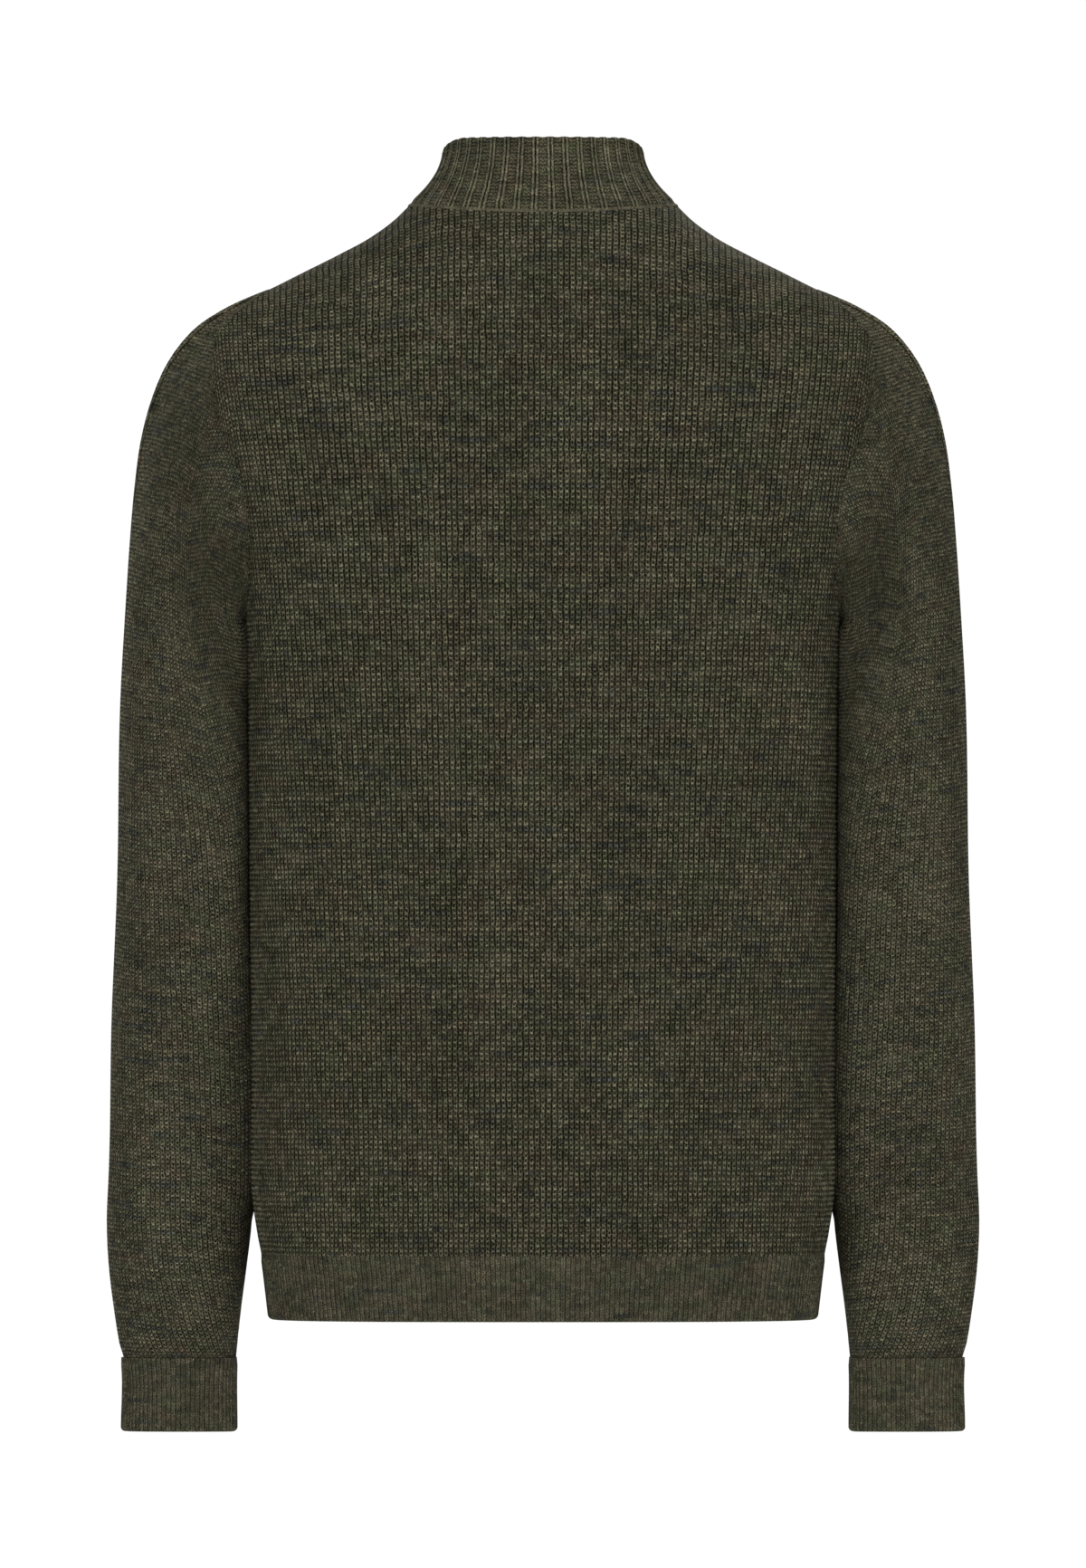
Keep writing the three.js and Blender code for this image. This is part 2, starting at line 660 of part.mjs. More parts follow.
/** Collar places: rows from the seam to the top edge, in a given count of columns. */
function collarRows(seam, columns, levels) {
  const foot = placesAlong(seam, columns);
  const top = spread(collarTop(), columns);
  const rows = levels.map((h) => {
    const inward = 1 - (1 - h) ** COLLAR.flare;
    return foot.map((place, c) => {
      const p = place.at.clone().lerp(top[c], inward);
      p.z = lerp(place.at.z, top[c].z, h);
      if (h > 0) return new Place(p);
      const lift = place.shift.clone().negate();
      return new Place(p, place.facing.clone(), lift);
    });
  });
  faceOutward(rows, false, 1);
  return rows;
}

const COLLAR_LEVELS = [0, 0.18, 0.52, 1];

function collarGeometry(seam) {
  const ribs = round(lengthOf(collarTop()) / RIBS.collar.pitch);
  const raised = collarRows(seam, ribs * COLLAR_RIB.length, COLLAR_LEVELS);
  const plain = collarRows(seam, ribs, COLLAR_LEVELS);
  return ribbed(raised, plain, ribHeights(ribs, COLLAR_RIB), RIBS.collar.height, false);
}

// ---------------------------------------------------------------- zip

/** The front's face beside the zip, from hem to collar, at given distances from the middle. */
function frontStrip(seam, columns) {
  const stations = [];
  const top = topEdge(FRONT, FRONT_EDGE);
  const count = 16;
  for (let i = 0; i < count; i++) {
    const z = lerp(HEM_BOTTOM + 0.5, top, i / count);
    stations.push(columns.map((x) => point(x, depthAt(FRONT, max(x, FRONT_EDGE), z), z)));
  }
  collarRows(seam, 60, [0, 0.3, 0.6, 0.95]).forEach((row) => {
    const at = (x) => {
      const i = row.findIndex((place) => place.at.x >= x) || 1;
      const [a, b] = [row[i - 1].at, row[i].at];
      return a.clone().lerp(b, (x - a.x) / (b.x - a.x));
    };
    stations.push(columns.map((x) => at(max(x, FRONT_EDGE)).setX(x)));
  });
  return stations;
}

/** Faces of a strip's stations in the plane of the zip: up along it and square to it. */
function stripFacings(stations) {
  return stations.map((row, i) => {
    const a = stations[max(0, i - 1)][0];
    const b = stations[min(stations.length - 1, i + 1)][0];
    const up = b.clone().sub(a).setX(0).normalize();
    return point(0, -up.z, up.y);
  });
}

/** A band that follows the zip, between two depths below the cloth's face. */
function zipBand(seam, columns, depth, thick, from, to) {
  const stations = frontStrip(seam, columns);
  const facings = stripFacings(stations);
  const heightOf = (i) => stations[i][0].z;
  const cut = (z) => {
    let i = 1;
    while (i < stations.length - 1 && heightOf(i) < z) i++;
    const t = (z - heightOf(i - 1)) / (heightOf(i) - heightOf(i - 1));
    const row = stations[i - 1].map((p, c) => p.clone().lerp(stations[i][c], t));
    return { row, facing: facings[i - 1].clone().lerp(facings[i], t).normalize() };
  };
  const middle = stations
    .map((row, i) => ({ row, facing: facings[i] }))
    .filter((_, i) => heightOf(i) > from + 1 && heightOf(i) < to - 1);
  const bands = [cut(from), ...middle, cut(to)];
  const sink = (by) =>
    bands.map(({ row, facing }) => row.map((p) => p.clone().addScaledVector(facing, -by)));
  return wall(sink(depth), sink(depth + thick), false);
}

/** The face's place and tilt at a height on the zip, as a group to hang hard pieces in. */
function zipFrame(seam, z) {
  const stations = frontStrip(seam, [0]);
  const facings = stripFacings(stations);
  let i = 1;
  while (i < stations.length - 1 && stations[i][0].z < z) i++;
  const t = (z - stations[i - 1][0].z) / (stations[i][0].z - stations[i - 1][0].z);
  const facing = facings[i - 1].clone().lerp(facings[i], t);
  const frame = new THREE.Group();
  frame.position.copy(stations[i - 1][0]).lerp(stations[i][0], t).setX(0);
  frame.rotation.x = atan2(-facing.y, facing.z);
  return frame;
}

const wasm = await Module();
wasm.setup();

/** A geometry as a solid that can be joined and cut. */
function solid(geometry) {
  const bare = geometry.clone();
  bare.deleteAttribute("normal");
  bare.deleteAttribute("uv");
  const merged = mergeVertices(bare, 1e-4);
  return new wasm.Manifold(
    new wasm.Mesh({
      numProp: 3,
      vertProperties: merged.attributes.position.array,
      triVerts: new Uint32Array(merged.index.array),
    }),
  );
}

function geometryOf(joined) {
  const mesh = joined.getMesh();
  const geometry = new THREE.BufferGeometry();
  geometry.setAttribute("position", new THREE.Float32BufferAttribute(mesh.vertProperties, 3));
  geometry.setIndex([...mesh.triVerts]);
  return geometry;
}

/** A rectangle with rounded corners, centred across and standing on y = low. */
function roundedShape(width, low, high, radius) {
  const w = width / 2;
  const shape = new THREE.Shape();
  shape.absarc(w - radius, low + radius, radius, -PI / 2, 0);
  shape.absarc(w - radius, high - radius, radius, 0, PI / 2);
  shape.absarc(-w + radius, high - radius, radius, PI / 2, PI);
  shape.absarc(-w + radius, low + radius, radius, PI, (3 * PI) / 2);
  return shape;
}

/** A flat plate of one shape, from a level upwards. */
function plate(shape, low, thick) {
  const options = { depth: thick, bevelEnabled: false, curveSegments: 3 };
  return new THREE.ExtrudeGeometry(shape, options).translate(0, 0, low);
}

/** The slider's outline: narrow at its foot and wide at its shoulders. */
function sliderShape() {
  const { width, length } = SLIDER;
  const half = width / 2;
  const end = length / 2;
  const shape = new THREE.Shape();
  shape.moveTo(-width * 0.36, -end);
  shape.lineTo(width * 0.36, -end);
  shape.quadraticCurveTo(width * 0.42, -length * 0.1, half, length * 0.2);
  shape.quadraticCurveTo(half, end, width * 0.2, end);
  shape.lineTo(-width * 0.2, end);
  shape.quadraticCurveTo(-half, end, -half, length * 0.2);
  shape.quadraticCurveTo(-width * 0.42, -length * 0.1, -width * 0.36, -end);
  return shape;
}

/** The side view of the bridge that the pull tab hangs in, with its feet sunk in the slider. */
function bridgeShape() {
  const { bridgeLength, bridgeGap, bridgeThick } = SLIDER;
  const root = -0.5;
  const reach = bridgeLength / 2;
  const inside = reach - bridgeThick;
  const corner = bridgeThick * 0.6;
  const top = bridgeGap + bridgeThick;
  const shape = new THREE.Shape();
  shape.moveTo(-reach, root);
  shape.lineTo(-inside, root);
  shape.lineTo(-inside, bridgeGap);
  shape.lineTo(inside, bridgeGap);
  shape.lineTo(inside, root);
  shape.lineTo(reach, root);
  shape.lineTo(reach, top - corner);
  shape.lineTo(reach - corner, top);
  shape.lineTo(-reach + corner, top);
  shape.lineTo(-reach, top - corner);
  return shape;
}

function sliderGeometry() {
  const { thick, lift, bridgeWidth } = SLIDER;
  const bridgePart = plate(bridgeShape(), -bridgeWidth / 2, bridgeWidth);
  const upright = new THREE.Matrix4().makeBasis(point(0, 1, 0), point(0, 0, 1), point(1, 0, 0));
  bridgePart.applyMatrix4(upright).translate(0, 0, lift);
  return geometryOf(solid(plate(sliderShape(), lift - thick, thick)).add(solid(bridgePart)));
}

/** The pull tab, hanging down from its bar, which lies at the frame's own origin. */
function tabGeometry() {
  const { width, length, thick, radius, bar } = TAB;
  const top = bar / 2;
  const foot = top - length + TAB_SLOT.fromEnd;
  const shape = roundedShape(width, top - length, top, radius);
  shape.holes.push(roundedShape(TAB_EYE.width, -top - TAB_EYE.length, -top, TAB_EYE.radius));
  shape.holes.push(roundedShape(TAB_SLOT.width, foot, foot + TAB_SLOT.length, TAB_SLOT.radius));
  return plate(shape, -thick / 2, thick);
}

// ---------------------------------------------------------------- the cardigan

const cardigan = new THREE.Group();
cardigan.name = "cardigan";

function add(name, geometry, look, into = cardigan) {
  const material = new THREE.MeshStandardMaterial({ ...COLOURS[look], side: THREE.FrontSide });
  const mesh = new THREE.Mesh(geometry, material);
  mesh.name = name;
  into.add(mesh);
  return mesh;
}

/** The same geometry on the wearer's other side. */
function mirrored(geometry) {
  const copy = geometry.clone().scale(-1, 1, 1);
  const order = [...copy.index.array];
  for (let i = 0; i < order.length; i += 3) [order[i + 1], order[i + 2]] = [order[i + 2], order[i + 1]];
  copy.setIndex(order);
  return copy;
}

function addPair(name, geometry, look) {
  add(`${name}_left`, geometry, look);
  add(`${name}_right`, mirrored(geometry), look);
}

const back = backRows();
const front = frontRows();
const seam = neckline(front, back);

add("back", cloth(back, WALLS.body, false), "body");
addPair("front", cloth(front, WALLS.body, false), "body");

const sleeve = sleeveRows(SLEEVE_RUNS);
sleeve[sleeve.length - 1].forEach((place) => (place.shift.z += SEAM_GAP / 2));
faceOutward(sleeve, true, -1);
addPair("sleeve", cloth(sleeve, WALLS.sleeve, true), "sleeve");
addPair("cuff", cuffGeometry(), "rib");

add("hem_rib_back", hemGeometry(BACK, -1, 1), "rib");
addPair("hem_rib_front", hemGeometry(FRONT, 0, 1), "rib");
add("collar", collarGeometry(seam), "rib");

const zipTop = COLLAR.topFront;
const zipFoot = HEM_BOTTOM + ZIP.footRise;
const tapeColumns = [ZIP.tapeInner, FRONT_EDGE, ZIP_STRIP[1], ZIP.tapeOuter];
const tapeTop = zipTop - ZIP.tapeFromTop;
addPair("zip_tape", zipBand(seam, tapeColumns, ZIP.depth, WALLS.tape, zipFoot, tapeTop), "tape");

const sliderZ = zipTop - ZIP.sliderFromTop;
const teethColumns = [SEAM_GAP / 2, ZIP.teethWidth];
const teethFoot = zipFoot + ZIP.boxHeight + SEAM_GAP;
const teethTop = sliderZ - SLIDER.length / 2 - SEAM_GAP;
const teeth = zipBand(seam, teethColumns, ZIP.teethSink, ZIP.teethThick, teethFoot, teethTop);
addPair("zip_teeth", teeth, "metal");

/** A group that stands on the zip at a height. */
function standOnZip(z) {
  const frame = zipFrame(seam, z);
  cardigan.add(frame);
  return frame;
}

const sliderFrame = standOnZip(sliderZ);
add("zip_slider", sliderGeometry(), "metal", sliderFrame);
const tab = add("zip_pull_tab", tabGeometry(), "metal", sliderFrame);
tab.position.z = SLIDER.lift + SLIDER.bridgeGap / 2;

const boxDepth = ZIP.depth - SEAM_GAP;
const boxShape = roundedShape(SLIDER.width, 0, ZIP.boxHeight, 0.9);
add("zip_box", plate(boxShape, -boxDepth, boxDepth), "metal", standOnZip(zipFoot));

const stopFrame = standOnZip(sliderZ + SLIDER.length / 2 + STOP.aboveSlider);
const stopShape = roundedShape(STOP.width, 0, STOP.height, STOP.radius);
[1, -1].forEach((side) => {
  const stop = plate(stopShape, -ZIP.teethSink - STOP.thick, STOP.thick);
  stop.translate(side * STOP.out, 0, 0);
  add(side > 0 ? "zip_stop_left" : "zip_stop_right", stop, "metal", stopFrame);
});

export default cardigan;
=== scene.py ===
"""A knitted zip cardigan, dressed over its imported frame.

Lengths are in millimetres until a mesh is made, which is in metres. +Z is up, -Y is the wearer's
front and +X the wearer's left. The origin is the middle of the neck opening.
"""

import logging
from collections.abc import Sequence
from dataclasses import dataclass
from enum import Enum

import bpy
import numpy as np
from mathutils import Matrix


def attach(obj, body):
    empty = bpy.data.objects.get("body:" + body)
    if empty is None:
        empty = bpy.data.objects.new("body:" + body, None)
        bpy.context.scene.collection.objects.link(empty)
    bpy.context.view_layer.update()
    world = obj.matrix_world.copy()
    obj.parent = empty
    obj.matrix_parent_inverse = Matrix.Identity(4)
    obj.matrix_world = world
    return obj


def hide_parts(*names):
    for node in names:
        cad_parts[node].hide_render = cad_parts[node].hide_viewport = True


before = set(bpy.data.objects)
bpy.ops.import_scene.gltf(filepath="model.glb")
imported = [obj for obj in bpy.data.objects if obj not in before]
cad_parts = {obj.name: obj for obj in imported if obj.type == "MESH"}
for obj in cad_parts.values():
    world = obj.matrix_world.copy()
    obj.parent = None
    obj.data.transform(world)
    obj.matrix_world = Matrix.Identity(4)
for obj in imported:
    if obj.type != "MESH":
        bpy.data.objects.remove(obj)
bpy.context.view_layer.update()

LOG = logging.getLogger("cardigan")
BODY = "garment"
MM = 0.001

Array = np.ndarray
Socket = bpy.types.NodeSocket

# ---------------------------------------------------------------- dimensions of the cardigan

SEAM_GAP = 0.3
WALL_BODY, WALL_SLEEVE, WALL_RIB, WALL_TAPE = 2.4, 2.0, 2.0, 0.9
HEM_BOTTOM, HEM_TOP, UNDERARM = -684.0, -643.0, -255.0
CUFF_TOP_RUN, CUFF_BOTTOM_RUN = 698.0, 744.0
FRONT_EDGE = 5.0
NECK_POINT = 83.0
SHOULDER_X, SHOULDER_Z = 170.0, -47.0
SHARE_POWER = 1.3
CAP_RUN = 120.0
# A sleeve hangs against the side down to SLEEVE_LEAVES and is pressed flat there.
SLEEVE_PRESS, SLEEVE_PRESS_REACH, SLEEVE_LEAVES = 5.0, 25.0, -622.0
TOUCH_STARTS, TOUCH_ENDS, WIDEST_TOUCH, TOUCH_OVERLAP = 8.0, 20.0, 3.0, 0.4
SLEEVE_SQUARENESS, SLEEVE_INSIDE = 2.15, 3.4
FRONT_NECK_POWER = 1.2
ROLL_STEPS = 6
RIB_MARGIN = 4.0  # ribs fade out so far from a cloth's edge
WELT_DIP_REACH = 2.4  # of the groove above a welt
ARMHOLE_STARTS = 20.0  # height in which the armhole's groove grows
SHOULDER_MARGIN = 15.0  # and fades at the shoulder point
ALWAYS_OUT = 1e-4  # keeps a row's wales apart where they would meet

BODY_WALE, BODY_COURSE = 3.6, 3.2
SLEEVE_WALE, SLEEVE_COURSE = 3.2, 2.65
WELT_PITCH, WELT_COURSE = 3.1, 2.2
COLLAR_PITCH, COLLAR_COURSE = 8.7, 2.3

# Level sections of the torso: height, half width, depth behind, depth before.
TORSO = (
    (-684, 169.5, 97, 104), (-643, 174.5, 100, 108), (-615, 178.5, 105, 114),
    (-540, 180, 105, 117), (-430, 181.5, 100, 116), (-340, 182.5, 103, 118),
    (-255, 184, 110, 123), (-165, 200, 114, 118), (-100, 216, 113, 106),
    (-50, 226, 110, 95), (10, 232, 105, 84),
)
# The line along the top of the shoulders: distance out, height.
RIDGE = (
    (0, 38), (40, 29), (83, 5), (91, -2.8), (106, -14), (126, -25), (148, -36), (170, -47),
    (197, -59), (214, -70),
)
# The armhole seam: height, distance out behind, distance out before.
ARMHOLE = (
    (-255, 184, 184), (-238, 182.5, 177), (-205, 181.5, 173), (-170, 184.5, 174),
    (-150, 192, 176), (-125, 201, 179), (-97, 204, 182), (-72, 199, 182), (-59, 186, 178),
    (-47, 170, 170),
)
# Sections of a sleeve along its outer line: run, outermost point (x, z), innermost point (x, z),
# depth behind, depth before, and how far the arm has come forward.
SLEEVE = (
    (0, 170, -47, 184, -255, 62, 69, 0), (30, 197, -59, 187, -260, 66, 70, 0),
    (50, 214, -70, 187, -264, 68, 70, 0), (78, 232, -92, 186.5, -270, 69, 70, 0),
    (103, 242, -115, 186, -277, 69, 69, 0), (126, 248, -137, 186, -284, 69, 68, 0),
    (160, 253, -171, 185.8, -294, 68, 67, 0), (194, 256, -204, 185.5, -305, 67, 66, 1),
    (250, 259, -260, 185.2, -330, 64, 63, 2), (362, 263, -372, 184.2, -394, 57, 57, 3),
    (474, 266, -484, 182.5, -487, 51, 51, 8), (586, 269, -596, 180.2, -596, 45, 45, 16),
    (612, 270, -622, 180.6, -622, 44, 44, 18), (642, 268.7, -652, 184, -652, 42, 42, 20),
    (665, 266.2, -675, 187, -675, 39, 39, 22), (687, 263, -697, 189.4, -697, 35, 35, 24),
    (698, 261, -708, 190.3, -708, 31, 31, 25), (744, 260.6, -754, 190.6, -754, 28, 28, 27),
)
# The first of those sections that hangs below the armhole's own.
SLEEVE_HANGS = 5
# How far the wales at the side have drifted outwards at each height, against those of the middle.
WALE_DRIFT = (
    (-684, -64), (-640, -62), (-540, -54), (-430, -43), (-340, -28), (-255, -11), (-205, -1),
    (-170, 9), (-125, 24), (-97, 33), (-72, 37), (-47, 37),
)


# ---------------------------------------------------------------- numbers and paths

class Profile:
    """A smooth line through a table's rows, one value for each key."""

    def __init__(self, table: Sequence[Sequence[float]], column: int) -> None:
        """Reads one column of a table against its first.

        Args:
            table: rows of numbers, the key first.
            column: which number of each row is the value.
        """
        self.keys = np.array([row[0] for row in table], float)
        self.values = np.array([row[column] for row in table], float)
        gaps = np.diff(self.keys)
        steps = np.diff(self.values) / gaps
        inner = (steps[:-1] * gaps[1:] + steps[1:] * gaps[:-1]) / (gaps[:-1] + gaps[1:])
        self.slopes = np.concatenate([steps[:1], inner, steps[-1:]])

    def __call__(self, key: Array | float) -> Array:
        """Reads the line, which is held level beyond both ends.

        Args:
            key: where to read it.

        Returns:
            The value at each key.
        """
        i = np.clip(np.searchsorted(self.keys, key, side="right") - 1, 0, len(self.keys) - 2)
        span = self.keys[i + 1] - self.keys[i]
        t = np.clip((key - self.keys[i]) / span, 0, 1)
        a, b = self.values[i], self.values[i + 1]
        rise = t * t * (3 - 2 * t)
        bend = self.slopes[i] * (1 - t) - self.slopes[i + 1] * t
        return a + (b - a) * rise + t * (1 - t) * span * bend


def blend(a: Array | float, b: Array | float, t: Array | float) -> Array:
    """The value a share t of the way from a to b."""
    return a + (b - a) * t


def smooth(t: Array | float) -> Array:
    """A soft step from 0 to 1."""
    t = np.clip(t, 0, 1)
    return t * t * (3 - 2 * t)


def lengths_of(path: Array) -> Array:
    """How far each point of a path lies along it."""
    return np.concatenate([[0], np.cumsum(np.linalg.norm(np.diff(path, axis=0), axis=1))])


def points_at(path: Array, distances: Array) -> Array:
    """Points of a path at given distances along it, held at its ends."""
    lengths = lengths_of(path)
    return np.stack([np.interp(distances, lengths, path[:, i]) for i in range(3)], axis=1)


def spread(path: Array, shares: Array) -> Array:
    """Points of a path at given shares of its length."""
    return points_at(path, shares * lengths_of(path)[-1])


# ---------------------------------------------------------------- the form the cardigan keeps

@dataclass(frozen=True)
class Face:
    """One face of the torso, behind or before the side seams."""

    way: int
    start: float
    square: float
    round_over: float
    neck_drop: float
    depth: Profile
    armhole: Profile
    arm_depth: Profile


BACK = Face(1, 0, 3.3, 150, 5, Profile(TORSO, 2), Profile(ARMHOLE, 1), Profile(SLEEVE, 5))
FRONT = Face(
    -1, FRONT_EDGE, 2.4, 120, 65, Profile(TORSO, 3), Profile(ARMHOLE, 2), Profile(SLEEVE, 6)
)
HALF_WIDTH = Profile(TORSO, 1)
RIDGE_LINE = Profile(RIDGE, 1)
DRIFT = Profile(WALE_DRIFT, 1)
SLEEVE_LINES = [Profile(SLEEVE, i) for i in (1, 2, 3, 4)]
ARM_AHEAD = Profile(SLEEVE, 7)


def ridge(x: Array) -> Array:
    """The height of the shoulder line at a distance out."""
    return RIDGE_LINE(np.abs(x))


def depth_at(face: Face, x: Array, z: Array) -> Array:
    """Where the torso's cloth lies behind (+) or before (-) the side seams.

    Args:
        face: the torso's face.
        x: distance out.
        z: height.

    Returns:
        The cloth's y at each place.
    """
    level = np.clip(1 - (np.abs(x) / HALF_WIDTH(z)) ** face.square, 0, None) ** (1 / face.square)
    below = np.clip((ridge(x) - z) / face.round_over, 0, 1)
    return face.way * face.depth(z) * level * np.sqrt(1 - (1 - below) ** 2)


def side_at(y: Array, z: Array) -> Array:
    """Finds the torso's side.

    Args:
        y: depth.
        z: height.

    Returns:
        How far out the cloth lies at each place.
    """
    reach = []
    for face in (BACK, FRONT):
        inside = np.clip(1 - (np.abs(y) / face.depth(z)) ** face.square, 0, None)
        reach.append(HALF_WIDTH(z) * inside ** (1 / face.square))
    return np.where(y > 0, reach[0], reach[1])


def top_edge(face: Face, x: Array) -> Array:
    """Follows a panel's top edge: its neckline, then its shoulder seam.

    Args:
        face: the torso's face.
        x: distance out.

    Returns:
        The edge's height at each place.
    """
    part = np.clip(np.abs(x) / NECK_POINT, 0, 1)
    corner = RIDGE_LINE(NECK_POINT)
    if face is BACK:
        neck = corner - face.neck_drop * (1 - part**2)
    else:
        neck = corner - face.neck_drop * np.sqrt(1 - part**2) ** FRONT_NECK_POWER
    return np.where(np.abs(x) >= NECK_POINT, ridge(x), neck)


def armhole_path(face: Face, steps: int = 240) -> Array:
    """Follows half of the armhole seam, from under the arm to the shoulder point.

    Args:
        face: the torso's face.
        steps: how finely the seam is followed.

    Returns:
        The seam's points.
    """
    t = (1 - np.cos(np.pi * np.arange(steps + 1) / steps)) / 2
    z = blend(UNDERARM, SHOULDER_Z, t)
    x = face.armhole(z)
    return np.stack([x, depth_at(face, x, z), z], axis=1)


def beside_sleeve(z: Array) -> Array:
    """Tells where a sleeve hangs against the side.

    Args:
        z: height.

    Returns:
        A share at each height: 1 against the side, and 0 above it and where the sleeve has left it.
    """
    return smooth((UNDERARM - z) / TOUCH_STARTS) * smooth((z - SLEEVE_LEAVES) / TOUCH_ENDS)


def lean_in(z: Array) -> Array:
    """Finds how far a sleeve and the side that it hangs against each swell to touch.

    Args:
        z: height.

    Returns:
        The swell of either at each height.
    """
    inner = Profile(sorted((row[4], row[3]) for row in SLEEVE[SLEEVE_HANGS:]), 1)
    gap = np.clip(inner(z) - HALF_WIDTH(z), 0, WIDEST_TOUCH)
    return gap / 2 * beside_sleeve(z)


# ---------------------------------------------------------------- meshes

DOUBLES_WITHIN = 2e-5  # metres
CLOTH_SHARP, SMALL_SHARP = 70, 50  # degrees over which an edge shows as an edge


def deselect() -> None:
    """Leaves nothing selected, so that an operator acts on its own piece alone."""
    if bpy.context.object and bpy.context.object.mode != "OBJECT":
        bpy.ops.object.mode_set(mode="OBJECT")
    bpy.ops.object.select_all(action="DESELECT")


def merge_doubles(merge: float) -> None:
    """Merges the doubled vertices of the active piece and clears away what they leave loose.

    Args:
        merge: how close two vertices count as one, in metres.
    """
    bpy.ops.object.mode_set(mode="EDIT")
    bpy.ops.mesh.select_all(action="SELECT")
    bpy.ops.mesh.remove_doubles(threshold=merge)
    bpy.ops.mesh.delete_loose(use_verts=True, use_edges=True, use_faces=False)
    bpy.ops.object.mode_set(mode="OBJECT")


@dataclass
class Lattice:
    """A cloth's face as rows of points, with its own measure across and along the stitches."""

    points: Array  # rows x columns x 3, rows going up
    across: Array  # distance across the wales at each point
    along: Array  # distance along the wales at each point

    def normals(self) -> Array:
        """Finds the way the face looks, which is outwards where across runs to the viewer's right.

        Returns:
            A unit vector for each point.
        """
        p = self.points
        side = np.empty_like(p)
        side[:, 1:-1] = p[:, 2:] - p[:, :-2]
        side[:, 0], side[:, -1] = p[:, 1] - p[:, 0], p[:, -1] - p[:, -2]
        up = np.empty_like(p)
        up[1:-1] = p[2:] - p[:-2]
        up[0], up[-1] = p[1] - p[0], p[-1] - p[-2]
        normal = np.cross(side, up)
        size = np.linalg.norm(normal, axis=2, keepdims=True)
        return normal / np.where(size < 1e-9, 1, size)

    def mirrored(self) -> "Lattice":
        """The same cloth on the wearer's other side."""
        points = self.points[:, ::-1] * np.array([-1, 1, 1])
        return Lattice(points, -self.across[:, ::-1], self.along[:, ::-1])

    def raised(self, height: Array) -> "Lattice":
        """The same cloth with its face moved outwards at each point."""
        points = self.points + self.normals() * height[..., None]
        return Lattice(points, self.across, self.along)


def climb(points: Array) -> Array:
    """How far each point of a lattice lies up its own column."""
    steps = np.linalg.norm(np.diff(points, axis=0), axis=2)
    return np.concatenate([np.zeros((1, points.shape[1])), np.cumsum(steps, axis=0)])


def rolled(edge: Array, radius: float) -> Array:
    """How far a cloth's face has turned inwards near an edge that rolls in.

    Args:
        edge: distance to the edge at each point.
        radius: of the roll.

    Returns:
        A height for each point, zero or below.
    """
    left = np.clip(radius - edge, 0, radius)
    return np.sqrt(radius**2 - left**2) - radius


def dipped(edge: Array, depth: float, reach: float) -> Array:
    """How far a cloth's face is drawn in beside a seam."""
    return -depth * np.exp(-((edge / reach) ** 2))


def make_cloth(name: str, lattice: Lattice, wall: float) -> bpy.types.Object:
    """Makes a sheet of cloth with a wall from its face's lattice.

    Args:
        name: of the piece.
        lattice: of its outer face.
        wall: thickness.

    Returns:
        The finished sheet, with a UV map in millimetres.
    """
    rows, columns = lattice.across.shape
    deselect()
    bpy.ops.mesh.primitive_grid_add(
        x_subdivisions=columns - 1, y_subdivisions=rows - 1, size=1, calc_uvs=True
    )
    piece = bpy.context.object
    piece.name = piece.data.name = name
    mesh = piece.data
    mesh.vertices.foreach_set("co", (lattice.points * MM).astype(np.float32).ravel())
    corner = np.empty(len(mesh.loops), np.int32)
    mesh.loops.foreach_get("vertex_index", corner)
    measure = np.stack([lattice.across.ravel(), lattice.along.ravel()], axis=1)[corner]
    mesh.uv_layers[0].name = "Knit"
    mesh.uv_layers[0].data.foreach_set("uv", measure.astype(np.float32).ravel())
    merge_doubles(DOUBLES_WITHIN)
    solid = piece.modifiers.new("Wall", "SOLIDIFY")
    solid.thickness = wall * MM
    solid.offset = -1
    bpy.ops.object.modifier_apply(modifier=solid.name)
    bpy.ops.object.shade_smooth_by_angle(angle=np.radians(CLOTH_SHARP))
    return piece


def make_copies(
    name: str, one: bpy.types.Object, frames: Sequence[tuple[Array, Array]]
) -> bpy.types.Object:
    """Copies one small shape to many places and keeps them as one mesh.

    Args:
        name: of the piece.
        one: the shape, in millimetres about its own origin; it is removed.
        frames: for each copy, a 3 x 3 matrix of its axes in columns and its place.

    Returns:
        The finished piece.
    """
    mesh = one.data
    base = np.empty(len(mesh.vertices) * 3)
    mesh.vertices.foreach_get("co", base)
    base = base.reshape(-1, 3)
    faces = [tuple(face.vertices) for face in mesh.polygons]
    vertices = np.concatenate([base @ axes.T + place for axes, place in frames]) * MM
    count = len(base)
    all_faces = [tuple(v + i * count for v in f) for i in range(len(frames)) for f in faces]
    made = bpy.data.meshes.new(name)
    made.from_pydata(vertices.tolist(), [], all_faces)
    made.update()
    bpy.data.objects.remove(one)
    piece = bpy.data.objects.new(name, made)
    bpy.context.collection.objects.link(piece)
    deselect()
    piece.select_set(True)
    bpy.context.view_layer.objects.active = piece
    bpy.ops.object.shade_smooth_by_angle(angle=np.radians(SMALL_SHARP))
    return piece


# ---------------------------------------------------------------- finishes

def linear(colour: str) -> tuple[float, float, float, float]:
    """Turns an sRGB hex colour into the linear one that a shader works in.

    Args:
        colour: six hex digits after a number sign.

    Returns:
        Red, green, blue and a full alpha.
    """
    parts = [int(colour[i : i + 2], 16) / 255 for i in (1, 3, 5)]
    turned = [c / 12.92 if c <= 0.04045 else ((c + 0.055) / 1.055) ** 2.4 for c in parts]
    return (*turned, 1.0)


